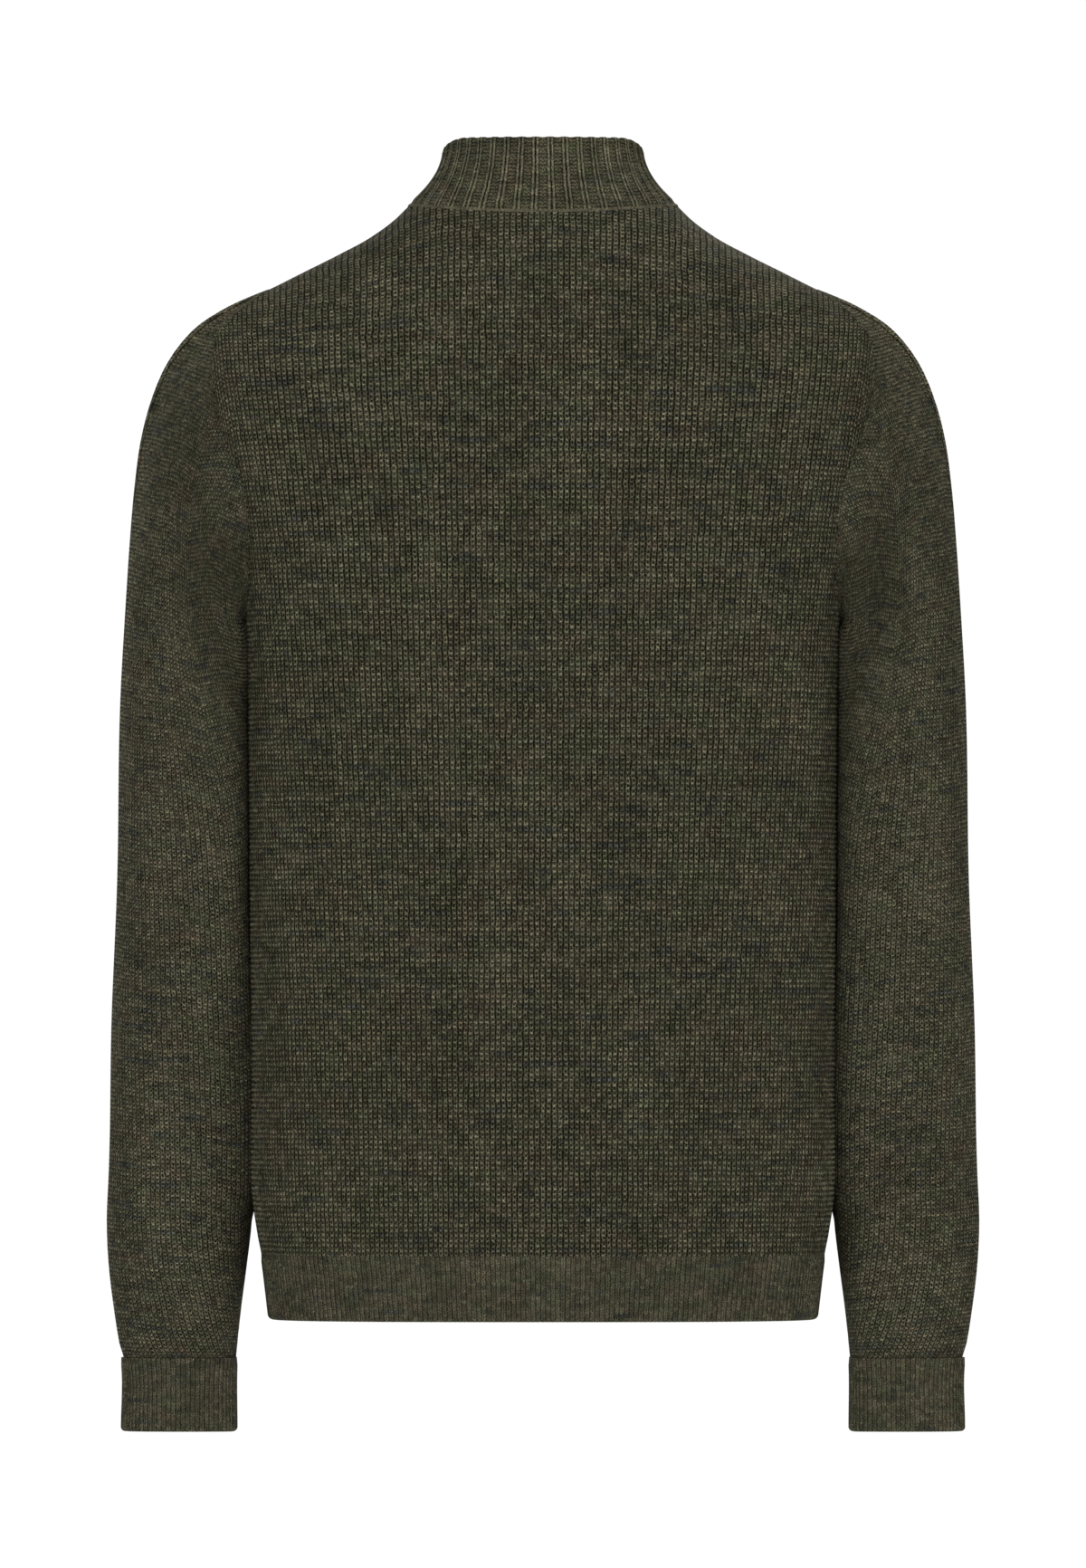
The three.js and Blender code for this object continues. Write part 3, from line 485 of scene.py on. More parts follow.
class Shader:
    """A material's or a world's node tree while it is being wired."""

    def __init__(self, owner: bpy.types.Material | bpy.types.World) -> None:
        """Empties the owner's tree.

        Args:
            owner: whose nodes are made.
        """
        owner.use_nodes = True
        self.owner = owner
        self.tree = owner.node_tree
        self.tree.nodes.clear()

    @classmethod
    def material(cls, name: str) -> "Shader":
        """Starts a new material."""
        return cls(bpy.data.materials.new(name))

    def add(
        self, kind: str, *values: Socket | float, out: int | str = 0,
        sockets: dict[str | int, object] | None = None, **settings: object,
    ) -> Socket | None:
        """Adds a node with its settings and links.

        Args:
            kind: a node's class without its prefix, or a Math operation in capitals.
            values: what goes into its first sockets, in order.
            out: which of its outputs is given back.
            sockets: what goes into sockets by name.
            settings: properties of the node itself.

        Returns:
            The chosen output, or nothing from a node without any.
        """
        sums = kind.isupper()
        made = self.tree.nodes.new("ShaderNodeMath" if sums else f"ShaderNode{kind}")
        if sums:
            made.operation = kind
        for key, value in settings.items():
            setattr(made, key, value)
        wanted = list(enumerate(values)) + list((sockets or {}).items())
        for key, value in wanted:
            if isinstance(value, bpy.types.NodeSocket):
                self.tree.links.new(value, made.inputs[key])
            else:
                made.inputs[key].default_value = value
        return made.outputs[out] if made.outputs else None


class Stitch(Enum):
    """How a cloth is knitted."""

    HALF_CARDIGAN = "half_cardigan"
    PLAIN = "plain"
    WELT = "one_by_one"
    COLLAR = "two_by_two"


SMOOTHSTEP = {"interpolation_type": "SMOOTHSTEP"}
COLOUR_MIX = {"data_type": "RGBA", "out": 2}
# Noise over a cloth's own measure, in millimetres: yarn strays slowly from its line, a loop's edge
# is frayed, and single fibres lie over it, drawn coarser than wool's own so that they show.
DRIFT_NOISE = {"Scale": 0.09, "Detail": 5.0, "Roughness": 0.72}
FRAY_NOISE = {"Scale": 0.9, "Detail": 3.0, "Roughness": 0.8}
FIBRE_NOISE = {"Scale": 1.5, "Detail": 2.0, "Roughness": 0.8}
PATCH_NOISE = {"Scale": 1.0, "Detail": 2.0, "Roughness": 0.6}


@dataclass(frozen=True)
class Patch:
    """Where the fibre of one dye comes to the top of the yarn."""

    dye: str
    length: float  # of a patch along its course, in streaks
    climb: float  # how little a course has in common with the next
    seed: float
    low: float  # the cloud's value where the dye starts to show
    high: float  # and where it shows most
    most: float  # how much of it shows there


@dataclass(frozen=True)
class Melange:
    """A wool yarn spun from several dyed fibres, so its colour drifts along the yarn."""

    shade: str = "#474637"
    painted_gap_shade: str = "#0a0904"  # painted shade, between and inside the loops
    patches: tuple[Patch, ...] = (
        Patch("#605c4a", 1.3, 0.6, 0.0, 0.22, 0.78, 1.0),  # khaki
        Patch("#4c503b", 0.8, 0.3, 9.5, 0.5, 0.68, 0.75),  # olive
        Patch("#3a3d3b", 1.1, 0.8, 21.5, 0.54, 0.7, 0.8),  # slate
        Patch("#594e40", 1.0, 0.36, 33.5, 0.53, 0.7, 0.65),  # brown
    )


@dataclass(frozen=True)
class Cup:
    """One loop of a cloth, in shares of its half wale and its course."""

    bend: float  # how far its arms rise
    hole: tuple[float, float]  # half width and half height of the hole inside it
    dark: float  # how dark that hole is, as painted shade
    gap: float  # half width of the gap between two wales, which is painted dark as shade
    link: float  # how light the yarn is that crosses the gap
    foot: float  # how much the foot of the loop stands out, and how much lighter it is painted, a painted highlight
    hole_edge: tuple[float, float] = (0.4, 1.3)  # squares of where the hole's side starts and ends
    gap_edge: tuple[float, float] = (1.25, 0.3)  # the same for the gap, in gaps
    link_edge: tuple[float, float] = (0.12, 0.5)  # where the crossing yarn starts and is full
    foot_rise: tuple[float, float] = (0.06, 0.24)  # where the foot is full and ends, upwards
    foot_span: tuple[float, float] = (0.35, 0.85)  # and sideways


@dataclass(frozen=True)
class Legs:
    """The two thin legs of a plain wale on a welt's rib, in shares of its half width."""

    slant: float = 0.9  # how far a leg climbs, in courses
    yarn: tuple[float, float, float] = (0.3, 0.6, 1.0)  # edge, and height at it and on top
    at: float = 0.42  # where a leg lies
    width: tuple[float, float] = (0.08, 0.5)  # where it is full and where it ends
    purl: float = 0.1  # height of what lies between two ribs


@dataclass(frozen=True)
class Bars:
    """The two plain and two purl wales of a collar's rib, in shares of the rib and the course."""

    plain: tuple[float, float, float] = (0.3, 0.66, 1.0)  # edge, and height at it and on top
    bar: float = 0.13  # how far a plain wale lies from the rib's middle
    width: tuple[float, float] = (0.025, 0.12)  # where it is full and where it ends
    gap: float = 0.05  # height between the bars
    arch: float = 0.5  # how far a purl loop arches
    purl: tuple[float, float, float, float] = (0.08, 0.4, 0.15, 0.62)  # its edges and heights
    turn: tuple[float, float] = (0.24, 0.29)  # where plain turns to purl


@dataclass(frozen=True)
class Knit:
    """Knitted melange wool: soft, hairy loops with painted shade between them, and patchy along
    each course.
    """

    name: str
    stitch: Stitch
    wale: float
    course: float
    cup: Cup | None = None
    legs: Legs = Legs()
    bars: Bars = Bars()
    yarn: Melange = Melange()
    streak: float = 22.0  # how long a patch of one dye runs along a course, in millimetres
    relief: float = 0.5  # of the loops, in millimetres
    gain: float = 1.0  # how light the yarn is against its own hexes; set piece by piece, partly painted light and shade
    depth: float = 1.0  # how dark the painted shade between the loops is
    speckle: float = 0.95  # how much the fibres differ
    wobble: float = 3.2  # how far a wale or course strays, in millimetres
    ragged: float = 2.7  # how far a loop's edges stray, in millimetres
    loops_differ: float = 0.34  # how much one loop's tone differs from the next
    areas_differ: float = 0.15  # and one area's from the next
    slow: tuple[float, float] = (0.024, 0.013)  # how fast areas change across and along, per mm
    slow_seed: float = 7.0
    closed: float = 0.78  # share of the painted shade's depth where the knit lies tight
    level: float = 0.6  # the height in a loop that keeps the yarn's own tone, however deep the painted shade is set
    hair: float = 0.3  # how far the fibres stand out, in loops
    roughness: float = 0.95
    specular: float = 0.03

    def cups(self, s: Shader, across: Socket, along: Socket) -> tuple[Socket, Socket]:
        """Draws loops that stand in each other like cups.

        Args:
            s: the material.
            across: in wales.
            along: in courses.

        Returns:
            A height from 0 to 1, and the number of the loop's course.
        """
        cup = self.cup
        x = s.add("ABSOLUTE", s.add("SUBTRACT", s.add("FRACT", across), 0.5))
        x = s.add("MULTIPLY", x, 2.0)
        bent = s.add("SUBTRACT", along, s.add("MULTIPLY", s.add("MULTIPLY", x, x), cup.bend))
        near = s.add("PINGPONG", bent, 0.5)
        wide = s.add("DIVIDE", x, cup.hole[0])
        tall = s.add("DIVIDE", s.add("SUBTRACT", 0.5, near), cup.hole[1])
        far = s.add("ADD", s.add("MULTIPLY", wide, wide), s.add("MULTIPLY", tall, tall))
        hole = s.add("MapRange", far, *cup.hole_edge, cup.dark, 0.0, **SMOOTHSTEP)
        link = s.add("MapRange", s.add("PINGPONG", along, 0.5), *cup.link_edge, 1.0, 1.0 - cup.link)
        starts, ends = (1.0 - share * cup.gap for share in cup.gap_edge)
        gap = s.add("MapRange", x, starts, ends, 0.0, 1.0, **SMOOTHSTEP)
        solid = s.add("SUBTRACT", 1.0, s.add("MAXIMUM", hole, s.add("MULTIPLY", gap, link)))
        # The foot of the loop stands higher and so is painted lighter: a painted highlight.
        low = s.add("MapRange", near, *cup.foot_rise, 1.0, 0.0)
        foot = s.add("MULTIPLY", low, s.add("MapRange", x, *cup.foot_span, 1.0, 0.0))
        height = s.add("MULTIPLY", solid, s.add("MULTIPLY_ADD", foot, cup.foot, 1.0 - cup.foot))
        return height, s.add("FLOOR", s.add("ADD", bent, 0.5))

    def ribs(self, s: Shader, across: Socket, along: Socket) -> tuple[Socket, Socket]:
        """Draws a plain wale on each rib, its two thin legs side by side, and a purl gap.

        Args:
            s: the material.
            across: in ribs.
            along: in courses.

        Returns:
            A height from 0 to 1, and the number of the loop's course.
        """
        legs = self.legs
        x = s.add("ABSOLUTE", s.add("SUBTRACT", s.add("FRACT", across), 0.5))
        x = s.add("MULTIPLY", x, 2.0)
        slant = s.add("SUBTRACT", along, s.add("MULTIPLY", x, legs.slant))
        phase = s.add("PINGPONG", slant, 0.5)
        yarn = s.add("MapRange", phase, 0.0, *legs.yarn, **SMOOTHSTEP)
        leg = s.add("ABSOLUTE", s.add("SUBTRACT", x, legs.at))
        width = s.add("MapRange", leg, *legs.width, 1.0, legs.purl, **SMOOTHSTEP)
        return s.add("MULTIPLY", yarn, width), s.add("FLOOR", slant)

    def collar_ribs(self, s: Shader, across: Socket, along: Socket) -> tuple[Socket, Socket]:
        """Draws two plain wales and two purl wales in each rib.

        Args:
            s: the material.
            across: in ribs.
            along: in courses.

        Returns:
            A height from 0 to 1, and the number of the loop's course.
        """
        bars = self.bars
        rib = s.add("FRACT", across)
        out = s.add("ABSOLUTE", s.add("SUBTRACT", rib, 0.5))
        wale = s.add("FRACT", s.add("MULTIPLY", rib, 4.0))
        x = s.add("MULTIPLY", s.add("ABSOLUTE", s.add("SUBTRACT", wale, 0.5)), 2.0)
        slant = s.add("SUBTRACT", along, x)
        plain = s.add("MapRange", s.add("PINGPONG", slant, 0.5), 0.0, *bars.plain)
        bar = s.add("ABSOLUTE", s.add("SUBTRACT", out, bars.bar))
        gap = s.add("MapRange", bar, *bars.width, 1.0, bars.gap, **SMOOTHSTEP)
        raised = s.add("MULTIPLY", plain, gap)
        bow = s.add("MULTIPLY", s.add("MULTIPLY", x, x), bars.arch)
        arch = s.add("PINGPONG", s.add("ADD", along, bow), 0.5)
        purl = s.add("MapRange", arch, *bars.purl)
        which = s.add("MapRange", out, *bars.turn, 0.0, 1.0)
        height = s.add("MULTIPLY_ADD", s.add("SUBTRACT", purl, raised), which, raised)
        return height, s.add("FLOOR", slant)

    def loops(self, s: Shader, across: Socket, along: Socket) -> tuple[Socket, Socket]:
        """Draws the loops' height over the cloth, which also sets the painted shade between them.

        Args:
            s: the material.
            across: in wales or ribs.
            along: in courses.

        Returns:
            A height from 0 between the loops to 1 on top of the yarn, and the course's number.
        """
        if self.stitch is Stitch.WELT:
            return self.ribs(s, across, along)
        if self.stitch is Stitch.COLLAR:
            return self.collar_ribs(s, across, along)
        return self.cups(s, across, along)

    def colour(self, s: Shader, u: Socket, course: Socket) -> Socket:
        """Spins the yarn's own colour: patches that run along a course and differ between courses.

        Args:
            s: the material.
            u: distance across the wales, in millimetres.
            course: the number of the course.

        Returns:
            A colour.
        """
        base = linear(self.yarn.shade)
        for patch in self.yarn.patches:
            place = s.add(
                "CombineXYZ", s.add("DIVIDE", u, self.streak * patch.length),
                s.add("MULTIPLY", course, patch.climb), patch.seed,
            )
            cloud = s.add("TexNoise", sockets={"Vector": place, **PATCH_NOISE})
            much = s.add("MapRange", cloud, patch.low, patch.high, 0.0, patch.most)
            sockets = {"Factor": much, 6: base, 7: linear(patch.dye)}
            base = s.add("Mix", **COLOUR_MIX, sockets=sockets)
        return base

    def tone(self, s: Shader, u: Socket, v: Socket, cell: Socket, hair: Socket) -> Socket:
        """Makes loops and areas differ from each other, with light and dark fibres over them.

        Args:
            s: the material.
            u: distance across the wales, in millimetres.
            v: distance along them.
            cell: the loop's own numbers.
            hair: the fibres.

        Returns:
            What the yarn's colour is multiplied by.
        """
        white = s.add("TexWhiteNoise", sockets={"Vector": cell})
        each = s.add("MapRange", white, 0.0, 1.0, 1 - self.loops_differ, 1 + self.loops_differ)
        slow = s.add(
            "CombineXYZ", s.add("MULTIPLY", u, self.slow[0]), s.add("MULTIPLY", v, self.slow[1]),
            self.slow_seed,
        )
        wide = s.add("TexNoise", sockets={"Vector": slow, "Scale": 1.0, "Detail": 3.0})
        area = s.add("MapRange", wide, 0.3, 0.7, 1 - self.areas_differ, 1 + self.areas_differ)
        fuzz = s.add("MapRange", hair, 0.38, 0.62, 1 - self.speckle, 1 + self.speckle)
        fuzz = s.add("MULTIPLY", fuzz, self.gain)
        strong = s.add("MULTIPLY", s.add("MULTIPLY", fuzz, each), area)
        return s.add("CombineXYZ", strong, strong, strong)

    def build(self) -> bpy.types.Material:
        """Wires the material.

        Returns:
            The finished material.
        """
        s = Shader.material(self.name)
        measure = s.add("UVMap", uv_map="Knit")
        u = s.add("SeparateXYZ", measure)
        v = s.add("SeparateXYZ", measure, out=1)
        across, along = s.add("DIVIDE", u, self.wale), s.add("DIVIDE", v, self.course)
        drift = s.add("TexNoise", out="Color", sockets={"Vector": measure, **DRIFT_NOISE})
        fray = s.add("TexNoise", out="Color", sockets={"Vector": measure, **FRAY_NOISE})
        for cloud, stray in ((drift, self.wobble), (fray, self.ragged)):
            push = s.add("SUBTRACT", s.add("SeparateColor", cloud), 0.5)
            across = s.add("MULTIPLY_ADD", push, stray / self.wale, across)
            push = s.add("SUBTRACT", s.add("SeparateColor", cloud, out=1), 0.5)
            along = s.add("MULTIPLY_ADD", push, stray / self.course, along)
        loop, course = self.loops(s, across, along)

        cell = s.add("CombineXYZ", s.add("FLOOR", across), course, 0.0)
        hair = s.add("TexNoise", sockets={"Vector": measure, **FIBRE_NOISE})
        shade = self.tone(s, u, v, cell, hair)
        yarn = self.colour(s, u, course)
        sockets = {"Factor": 1.0, 6: yarn, 7: shade}
        yarn = s.add("Mix", **COLOUR_MIX, blend_type="MULTIPLY", sockets=sockets)
        # The loops' height paints the colour too: low places between and inside the loops take the
        # painted gap shade, a painted shade, more weakly where the knit lies tight.
        tight = s.add("SeparateColor", drift, out=2)
        clear = s.add("MapRange", tight, 0.4, 0.6, self.depth, self.depth * self.closed)
        lit = s.add("MULTIPLY_ADD", s.add("SUBTRACT", loop, self.level), clear, self.level)
        sockets = {"Factor": lit, 6: linear(self.yarn.painted_gap_shade), 7: yarn}
        base = s.add("Mix", **COLOUR_MIX, sockets=sockets)

        height = s.add("MULTIPLY_ADD", hair, self.hair, loop)
        far = self.relief * MM
        bump = s.add("Bump", sockets={"Strength": 1.0, "Distance": far, "Height": height})
        surface = s.add("BsdfPrincipled", sockets={
            "Base Color": base, "Roughness": self.roughness, "Normal": bump,
            "Specular IOR Level": self.specular,
        })
        s.add("OutputMaterial", surface)
        return s.owner


@dataclass(frozen=True)
class LinkingYarn:
    """The loops of a linked seam: the same wool, end on, so that each loop catches the light."""

    name: str = "linking_wool_yarn"
    dark: str = "#2a291f"
    light: str = "#5b5746"
    fibre: float = 1500.0  # noise per metre: fibres, drawn coarse so that they show
    tuft: float = 160.0  # and loops that differ
    relief: float = 0.2  # of the fibres, in millimetres
    roughness: float = 0.95
    specular: float = 0.03

    def build(self) -> bpy.types.Material:
        """Wires the material.

        Returns:
            The finished material.
        """
        s = Shader.material(self.name)
        where = s.add("TexCoord", out="Object")
        sockets = {"Vector": where, "Scale": self.fibre, "Detail": 2.0, "Roughness": 0.8}
        hair = s.add("TexNoise", sockets=sockets)
        cloud = s.add("TexNoise", sockets={"Vector": where, "Scale": self.tuft, "Detail": 2.0})
        tone = s.add("MapRange", s.add("ADD", hair, cloud), 0.7, 1.3, 0.0, 1.0)
        sockets = {"Factor": tone, 6: linear(self.dark), 7: linear(self.light)}
        base = s.add("Mix", **COLOUR_MIX, sockets=sockets)
        far = self.relief * MM
        bump = s.add("Bump", sockets={"Strength": 1.0, "Distance": far, "Height": hair})
        surface = s.add("BsdfPrincipled", sockets={
            "Base Color": base, "Roughness": self.roughness, "Normal": bump,
            "Specular IOR Level": self.specular,
        })
        s.add("OutputMaterial", surface)
        return s.owner


@dataclass(frozen=True)
class Tape:
    """Woven polyester zip tape: a fine herringbone, painted lighter on each thread's top and darker
    between threads, with a slight shine on its floats.
    """

    name: str = "woven_polyester_tape"
    colour: str = "#25261d"
    light: str = "#3c3d31"
    zigzag: float = 2.2  # width of one slope of the herringbone, in millimetres
    thread: float = 0.9  # from one thread to the next, drawn a little coarse so that it shows
    relief: float = 0.2  # in millimetres
    roughness: float = 0.7
    sheen: float = 0.1

    def build(self) -> bpy.types.Material:
        """Wires the material.

        Returns:
            The finished material.
        """
        s = Shader.material(self.name)
        measure = s.add("UVMap", uv_map="Knit")
        u = s.add("SeparateXYZ", measure)
        v = s.add("SeparateXYZ", measure, out=1)
        slope = s.add("ADD", v, s.add("PINGPONG", u, self.zigzag))
        line = s.add("PINGPONG", s.add("FRACT", s.add("DIVIDE", slope, self.thread)), 0.5)
        # The threads' relief paints the colour too: a painted highlight on each thread's top and
        # painted shade between threads.
        thread = s.add("MapRange", line, 0.05, 0.4, 0.0, 1.0)
        sockets = {"Factor": thread, 6: linear(self.colour), 7: linear(self.light)}
        base = s.add("Mix", **COLOUR_MIX, sockets=sockets)
        far = self.relief * MM
        bump = s.add("Bump", sockets={"Strength": 1.0, "Distance": far, "Height": thread})
        surface = s.add("BsdfPrincipled", sockets={
            "Base Color": base, "Roughness": self.roughness, "Normal": bump,
            "Sheen Weight": self.sheen,
        })
        s.add("OutputMaterial", surface)
        return s.owner


@dataclass(frozen=True)
class Gunmetal:
    """Die-cast zinc with a dark nickel plate: a soft shine, brighter where it is handled."""

    name: str = "dark_nickel_plate"
    colour: str = "#504e48"
    worn: str = "#716e65"
    roughness: float = 0.32
    smoother: float = 0.07  # how much less rough it is where it is rubbed
    rougher: float = 0.12  # and how much more elsewhere
    rubbed: float = 260.0  # noise per metre: a few rubbed places on each piece
    grain: float = 6000.0  # and the plate's own grain
    relief: float = 0.05  # of the grain, in millimetres

    def build(self) -> bpy.types.Material:
        """Wires the material.

        Returns:
            The finished material.
        """
        s = Shader.material(self.name)
        where = s.add("TexCoord", out="Object")
        cloud = s.add("TexNoise", sockets={"Vector": where, "Scale": self.rubbed, "Detail": 2.0})
        grain = s.add("TexNoise", sockets={"Vector": where, "Scale": self.grain, "Detail": 1.0})
        rub = s.add("MapRange", cloud, 0.4, 0.75, 0.0, 0.6)
        sockets = {"Factor": rub, 6: linear(self.colour), 7: linear(self.worn)}
        base = s.add("Mix", **COLOUR_MIX, sockets=sockets)
        least, most = self.roughness - self.smoother, self.roughness + self.rougher
        rough = s.add("MapRange", cloud, 0.3, 0.7, least, most)
        far = self.relief * MM
        bump = s.add("Bump", sockets={"Strength": 0.08, "Distance": far, "Height": grain})
        surface = s.add("BsdfPrincipled", sockets={
            "Base Color": base, "Metallic": 1.0, "Roughness": rough, "Normal": bump,
        })
        s.add("OutputMaterial", surface)
        return s.owner


# One yarn, made lighter or darker on each piece by gain: painted light and shade, with the welts
# painted darkest.
BODY_KNIT = Knit(
    "half_cardigan_melange_wool", Stitch.HALF_CARDIGAN, BODY_WALE, BODY_COURSE,
    Cup(0.5, (0.42, 0.36), 0.85, 0.47, 0.2, 0.35), relief=0.6, gain=1.04, depth=1.15,
)
SLEEVE_KNIT = Knit(
    "plain_knit_melange_wool", Stitch.PLAIN, SLEEVE_WALE, SLEEVE_COURSE,
    Cup(0.7, (0.42, 0.36), 0.9, 0.39, 0.3, 0.35), relief=0.5, gain=1.02, depth=1.1,
)
WELT_KNIT = Knit(
    "one_by_one_rib_melange_wool", Stitch.WELT, WELT_PITCH, WELT_COURSE, relief=0.3, gain=0.72,
    depth=0.9, wobble=2.0,
)
COLLAR_KNIT = Knit(
    "two_by_two_rib_melange_wool", Stitch.COLLAR, COLLAR_PITCH, COLLAR_COURSE, relief=0.4,
    gain=0.95, depth=1.2, wobble=1.6, ragged=2.6,
)


class Cloths:
    """The cardigan's materials, each made once."""

    def __init__(self) -> None:
        """Builds every finish."""
        self.body = BODY_KNIT.build()
        self.sleeve = SLEEVE_KNIT.build()
        self.welt = WELT_KNIT.build()
        self.collar = COLLAR_KNIT.build()
        self.linking = LinkingYarn().build()
        self.tape = Tape().build()
        self.metal = Gunmetal().build()


@dataclass(frozen=True)
class Cut:
    """A sheet's flat size before it was made up, in millimetres, and how it is held."""

    width: float
    length: float
    area: float | None = None
    held: str = "draped"


def dress(
    piece: bpy.types.Object, material: bpy.types.Material, slot: str, *nodes: str,
    cut: Cut | None = None,
) -> None:
    """Gives a piece its material, hangs it on the garment's body and hides the frame's nodes that
    it stands for.

    Args:
        piece: the finished piece.
        material: its finish.
        slot: the record's material slot.
        nodes: the CAD nodes that it replaces.
        cut: its flat size, where it is a sheet; not used.
    """
    piece.data.materials.clear()
    piece.data.materials.append(material)
    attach(piece, BODY)
    if nodes:
        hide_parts(*nodes)
    LOG.info("%s: %d faces, %s", piece.name, len(piece.data.polygons), slot)


def flat_area(lattice: Lattice) -> float:
    """Measures a cloth over its face.

    Args:
        lattice: the cloth.

    Returns:
        Its area in square millimetres.
    """
    p = lattice.points
    a, b = p[1:, 1:] - p[:-1, :-1], p[1:, :-1] - p[:-1, 1:]
    return float(np.linalg.norm(np.cross(a, b), axis=2).sum() / 2)


# ---------------------------------------------------------------- back and fronts

@dataclass
class Panels:
    """The back and the two fronts, in half-cardigan stitch."""

    cloths: Cloths
    wale: float = BODY_WALE
    columns_in_wale: int = 4
    row_step: float = 10.0
    drift_power: float = 1.6
    rib_height: float = 0.3
    seam_dip: float = 0.3
    seam_reach: float = 3.2  # a seam's groove, to each side
    armhole_dip: float = 1.2  # how much deeper it gets at the armhole
    hem_dip: float = 0.7  # of the side seam's groove
    hem_reach: float = 2.6
    touch_reach: float = 40.0  # how far a sleeve presses the body's side in
    wave_height: float = 0.35
    wave_margin: float = 45.0  # where waves fade out before an edge
    roll: float = 2.6
    top_power: float = 1.5  # how late the wales' tops take the shoulder's bow
    slope_steps: int = 181

    def half(self, face: Face) -> tuple[Lattice, Array, Array]:
        """Half of a panel on the wearer's left, from its middle or its zip edge outwards.

        Args:
            face: the torso's face.

        Returns:
            Its lattice, and each point's distance to the side or armhole and to the top.
        """
        lower = np.linspace(HEM_TOP, UNDERARM, round((UNDERARM - HEM_TOP) / self.row_step) + 1)
        hole = armhole_path(face)
        shares = np.linspace(0, 1, round(lengths_of(hole)[-1] / self.row_step) + 1)[1:]
        upper = spread(hole, shares)
        edge_x = np.concatenate([HALF_WIDTH(lower), upper[:, 0]])
        edge_z = np.concatenate([lower, upper[:, 2]])
        top_start = top_edge(face, np.array(face.start))
        middle = np.concatenate([lower, blend(UNDERARM, top_start, shares)])
        rise = np.concatenate([0 * lower, shares**self.top_power])

        t = np.sin(np.pi / 2 * np.linspace(0, 1, self.slope_steps))
        top = top_edge(face, blend(face.start, SHOULDER_X, t))
        bow = top - blend(top[0], top[-1], t)
        paths = []
        for i in range(len(edge_x)):
            x = blend(face.start, edge_x[i], t)
            z = blend(middle[i], edge_z[i], t) + rise[i] * bow
            paths.append(np.stack([x, depth_at(face, x, z), z], axis=1))
        widths = np.array([lengths_of(path)[-1] for path in paths[: len(lower)]])
        step = self.wale / self.columns_in_wale
        most = float((widths - DRIFT(lower)).max())
        wales = np.arange(0, most + step, step)
        lean = (wales / most) ** self.drift_power
        under = paths[len(lower) - 1]
        at_under = wales + DRIFT(UNDERARM) * lean
        plumb = np.interp(at_under, lengths_of(under), under[:, 0] - face.start)
        plumb += wales * ALWAYS_OUT
        points, across, beside = [], [], []
        for i, path in enumerate(paths):
            lengths = lengths_of(path)
            off = DRIFT(path[:, 2])
            if i < len(lower):
                reach, ways = lengths, wales + off[:, None] * lean
            else:
                reach = path[:, 0] - face.start
                ways = plumb + (off[:, None] - DRIFT(UNDERARM)) * lean
            number = [np.interp(r, way, wales) for r, way in zip(reach, ways)]
            at = np.interp(wales, number, lengths)
            points.append(points_at(path, at))
            across.append(np.minimum(wales, number[-1]))
            beside.append(lengths[-1] - at)
        points = np.array(points)
        along = climb(points)
        return Lattice(points, np.array(across), along), np.array(beside), along[-1] - along

    def relief(self, face: Face, lattice: Lattice, beside: Array, below: Array) -> Array:
        """How far a half panel's face stands off its form: ribs, seams and soft waves.

        Args:
            face: the torso's face.
            lattice: the half panel.
            beside: distance to the side or armhole.
            below: distance to the top edge.

        Returns:
            A height for each point.
        """
        nearest = np.minimum(np.minimum(beside, below), lattice.along)
        shift = 0.5 if face is BACK else 0.0
        ribs = -np.cos(2 * np.pi * (lattice.across / self.wale + shift))
        height = self.rib_height * ribs * smooth(nearest / RIB_MARGIN)
        x, z = lattice.points[..., 0], lattice.points[..., 2]
        deeper = 1 + self.armhole_dip * smooth((z - UNDERARM) / ARMHOLE_STARTS)
        deeper *= smooth(below / SHOULDER_MARGIN)
        height += dipped(beside, self.seam_dip, self.seam_reach) * deeper
        height += dipped(below, self.seam_dip, self.seam_reach)
        height += dipped(lattice.along, self.seam_dip * self.hem_dip, self.hem_reach)
        # Three slow waves that cross each other, so that no two folds of the cloth are alike.
        waves = np.sin(x / 31 + z / 57) + np.sin(x / 47 - z / 39 + 1.3)
        waves += 0.6 * np.sin(z / 23 + x / 90)
        height += self.wave_height * waves * smooth(nearest / self.wave_margin)
        touching = lean_in(z) + TOUCH_OVERLAP * beside_sleeve(z)
        height += touching * (1 - smooth(beside / self.touch_reach))
        if face is FRONT:
            height += rolled(lattice.across, self.roll)
        return height

    def build(self) -> None:
        """Makes and dresses the three panels."""
        half, beside, below = self.half(BACK)
        # Behind, this half's own face looks inwards, so what stands off it is taken the other way.
        right = half.raised(-self.relief(BACK, half, beside, below))
        right.points[..., 0] *= -1
        left_points = right.points[:, ::-1] * np.array([-1, 1, 1])
        middle = self.wale / 2
        whole = Lattice(
            np.concatenate([left_points[:, :-1], right.points], axis=1),
            np.concatenate([-half.across[:, ::-1][:, :-1], half.across], axis=1) + middle,
            np.concatenate([half.along[:, ::-1][:, :-1], half.along], axis=1),
        )
        piece = make_cloth("back_cloth", whole, WALL_BODY)
        area = 2 * flat_area(half)
        cut = Cut(2 * float(half.across.max()), float(half.along.max()), area)
        dress(piece, self.cloths.body, "half_cardigan_knit", "back", cut=cut)

        half, beside, below = self.half(FRONT)
        area = flat_area(half)
        cut = Cut(float(half.across.max()), float(half.along.max()), area)
        left = half.raised(self.relief(FRONT, half, beside, below))
        for name, lattice in (("left", left), ("right", left.mirrored())):
            piece = make_cloth(f"front_cloth_{name}", lattice, WALL_BODY)
            dress(piece, self.cloths.body, "half_cardigan_knit", f"front_{name}", cut=cut)


# ---------------------------------------------------------------- sleeves and cuffs

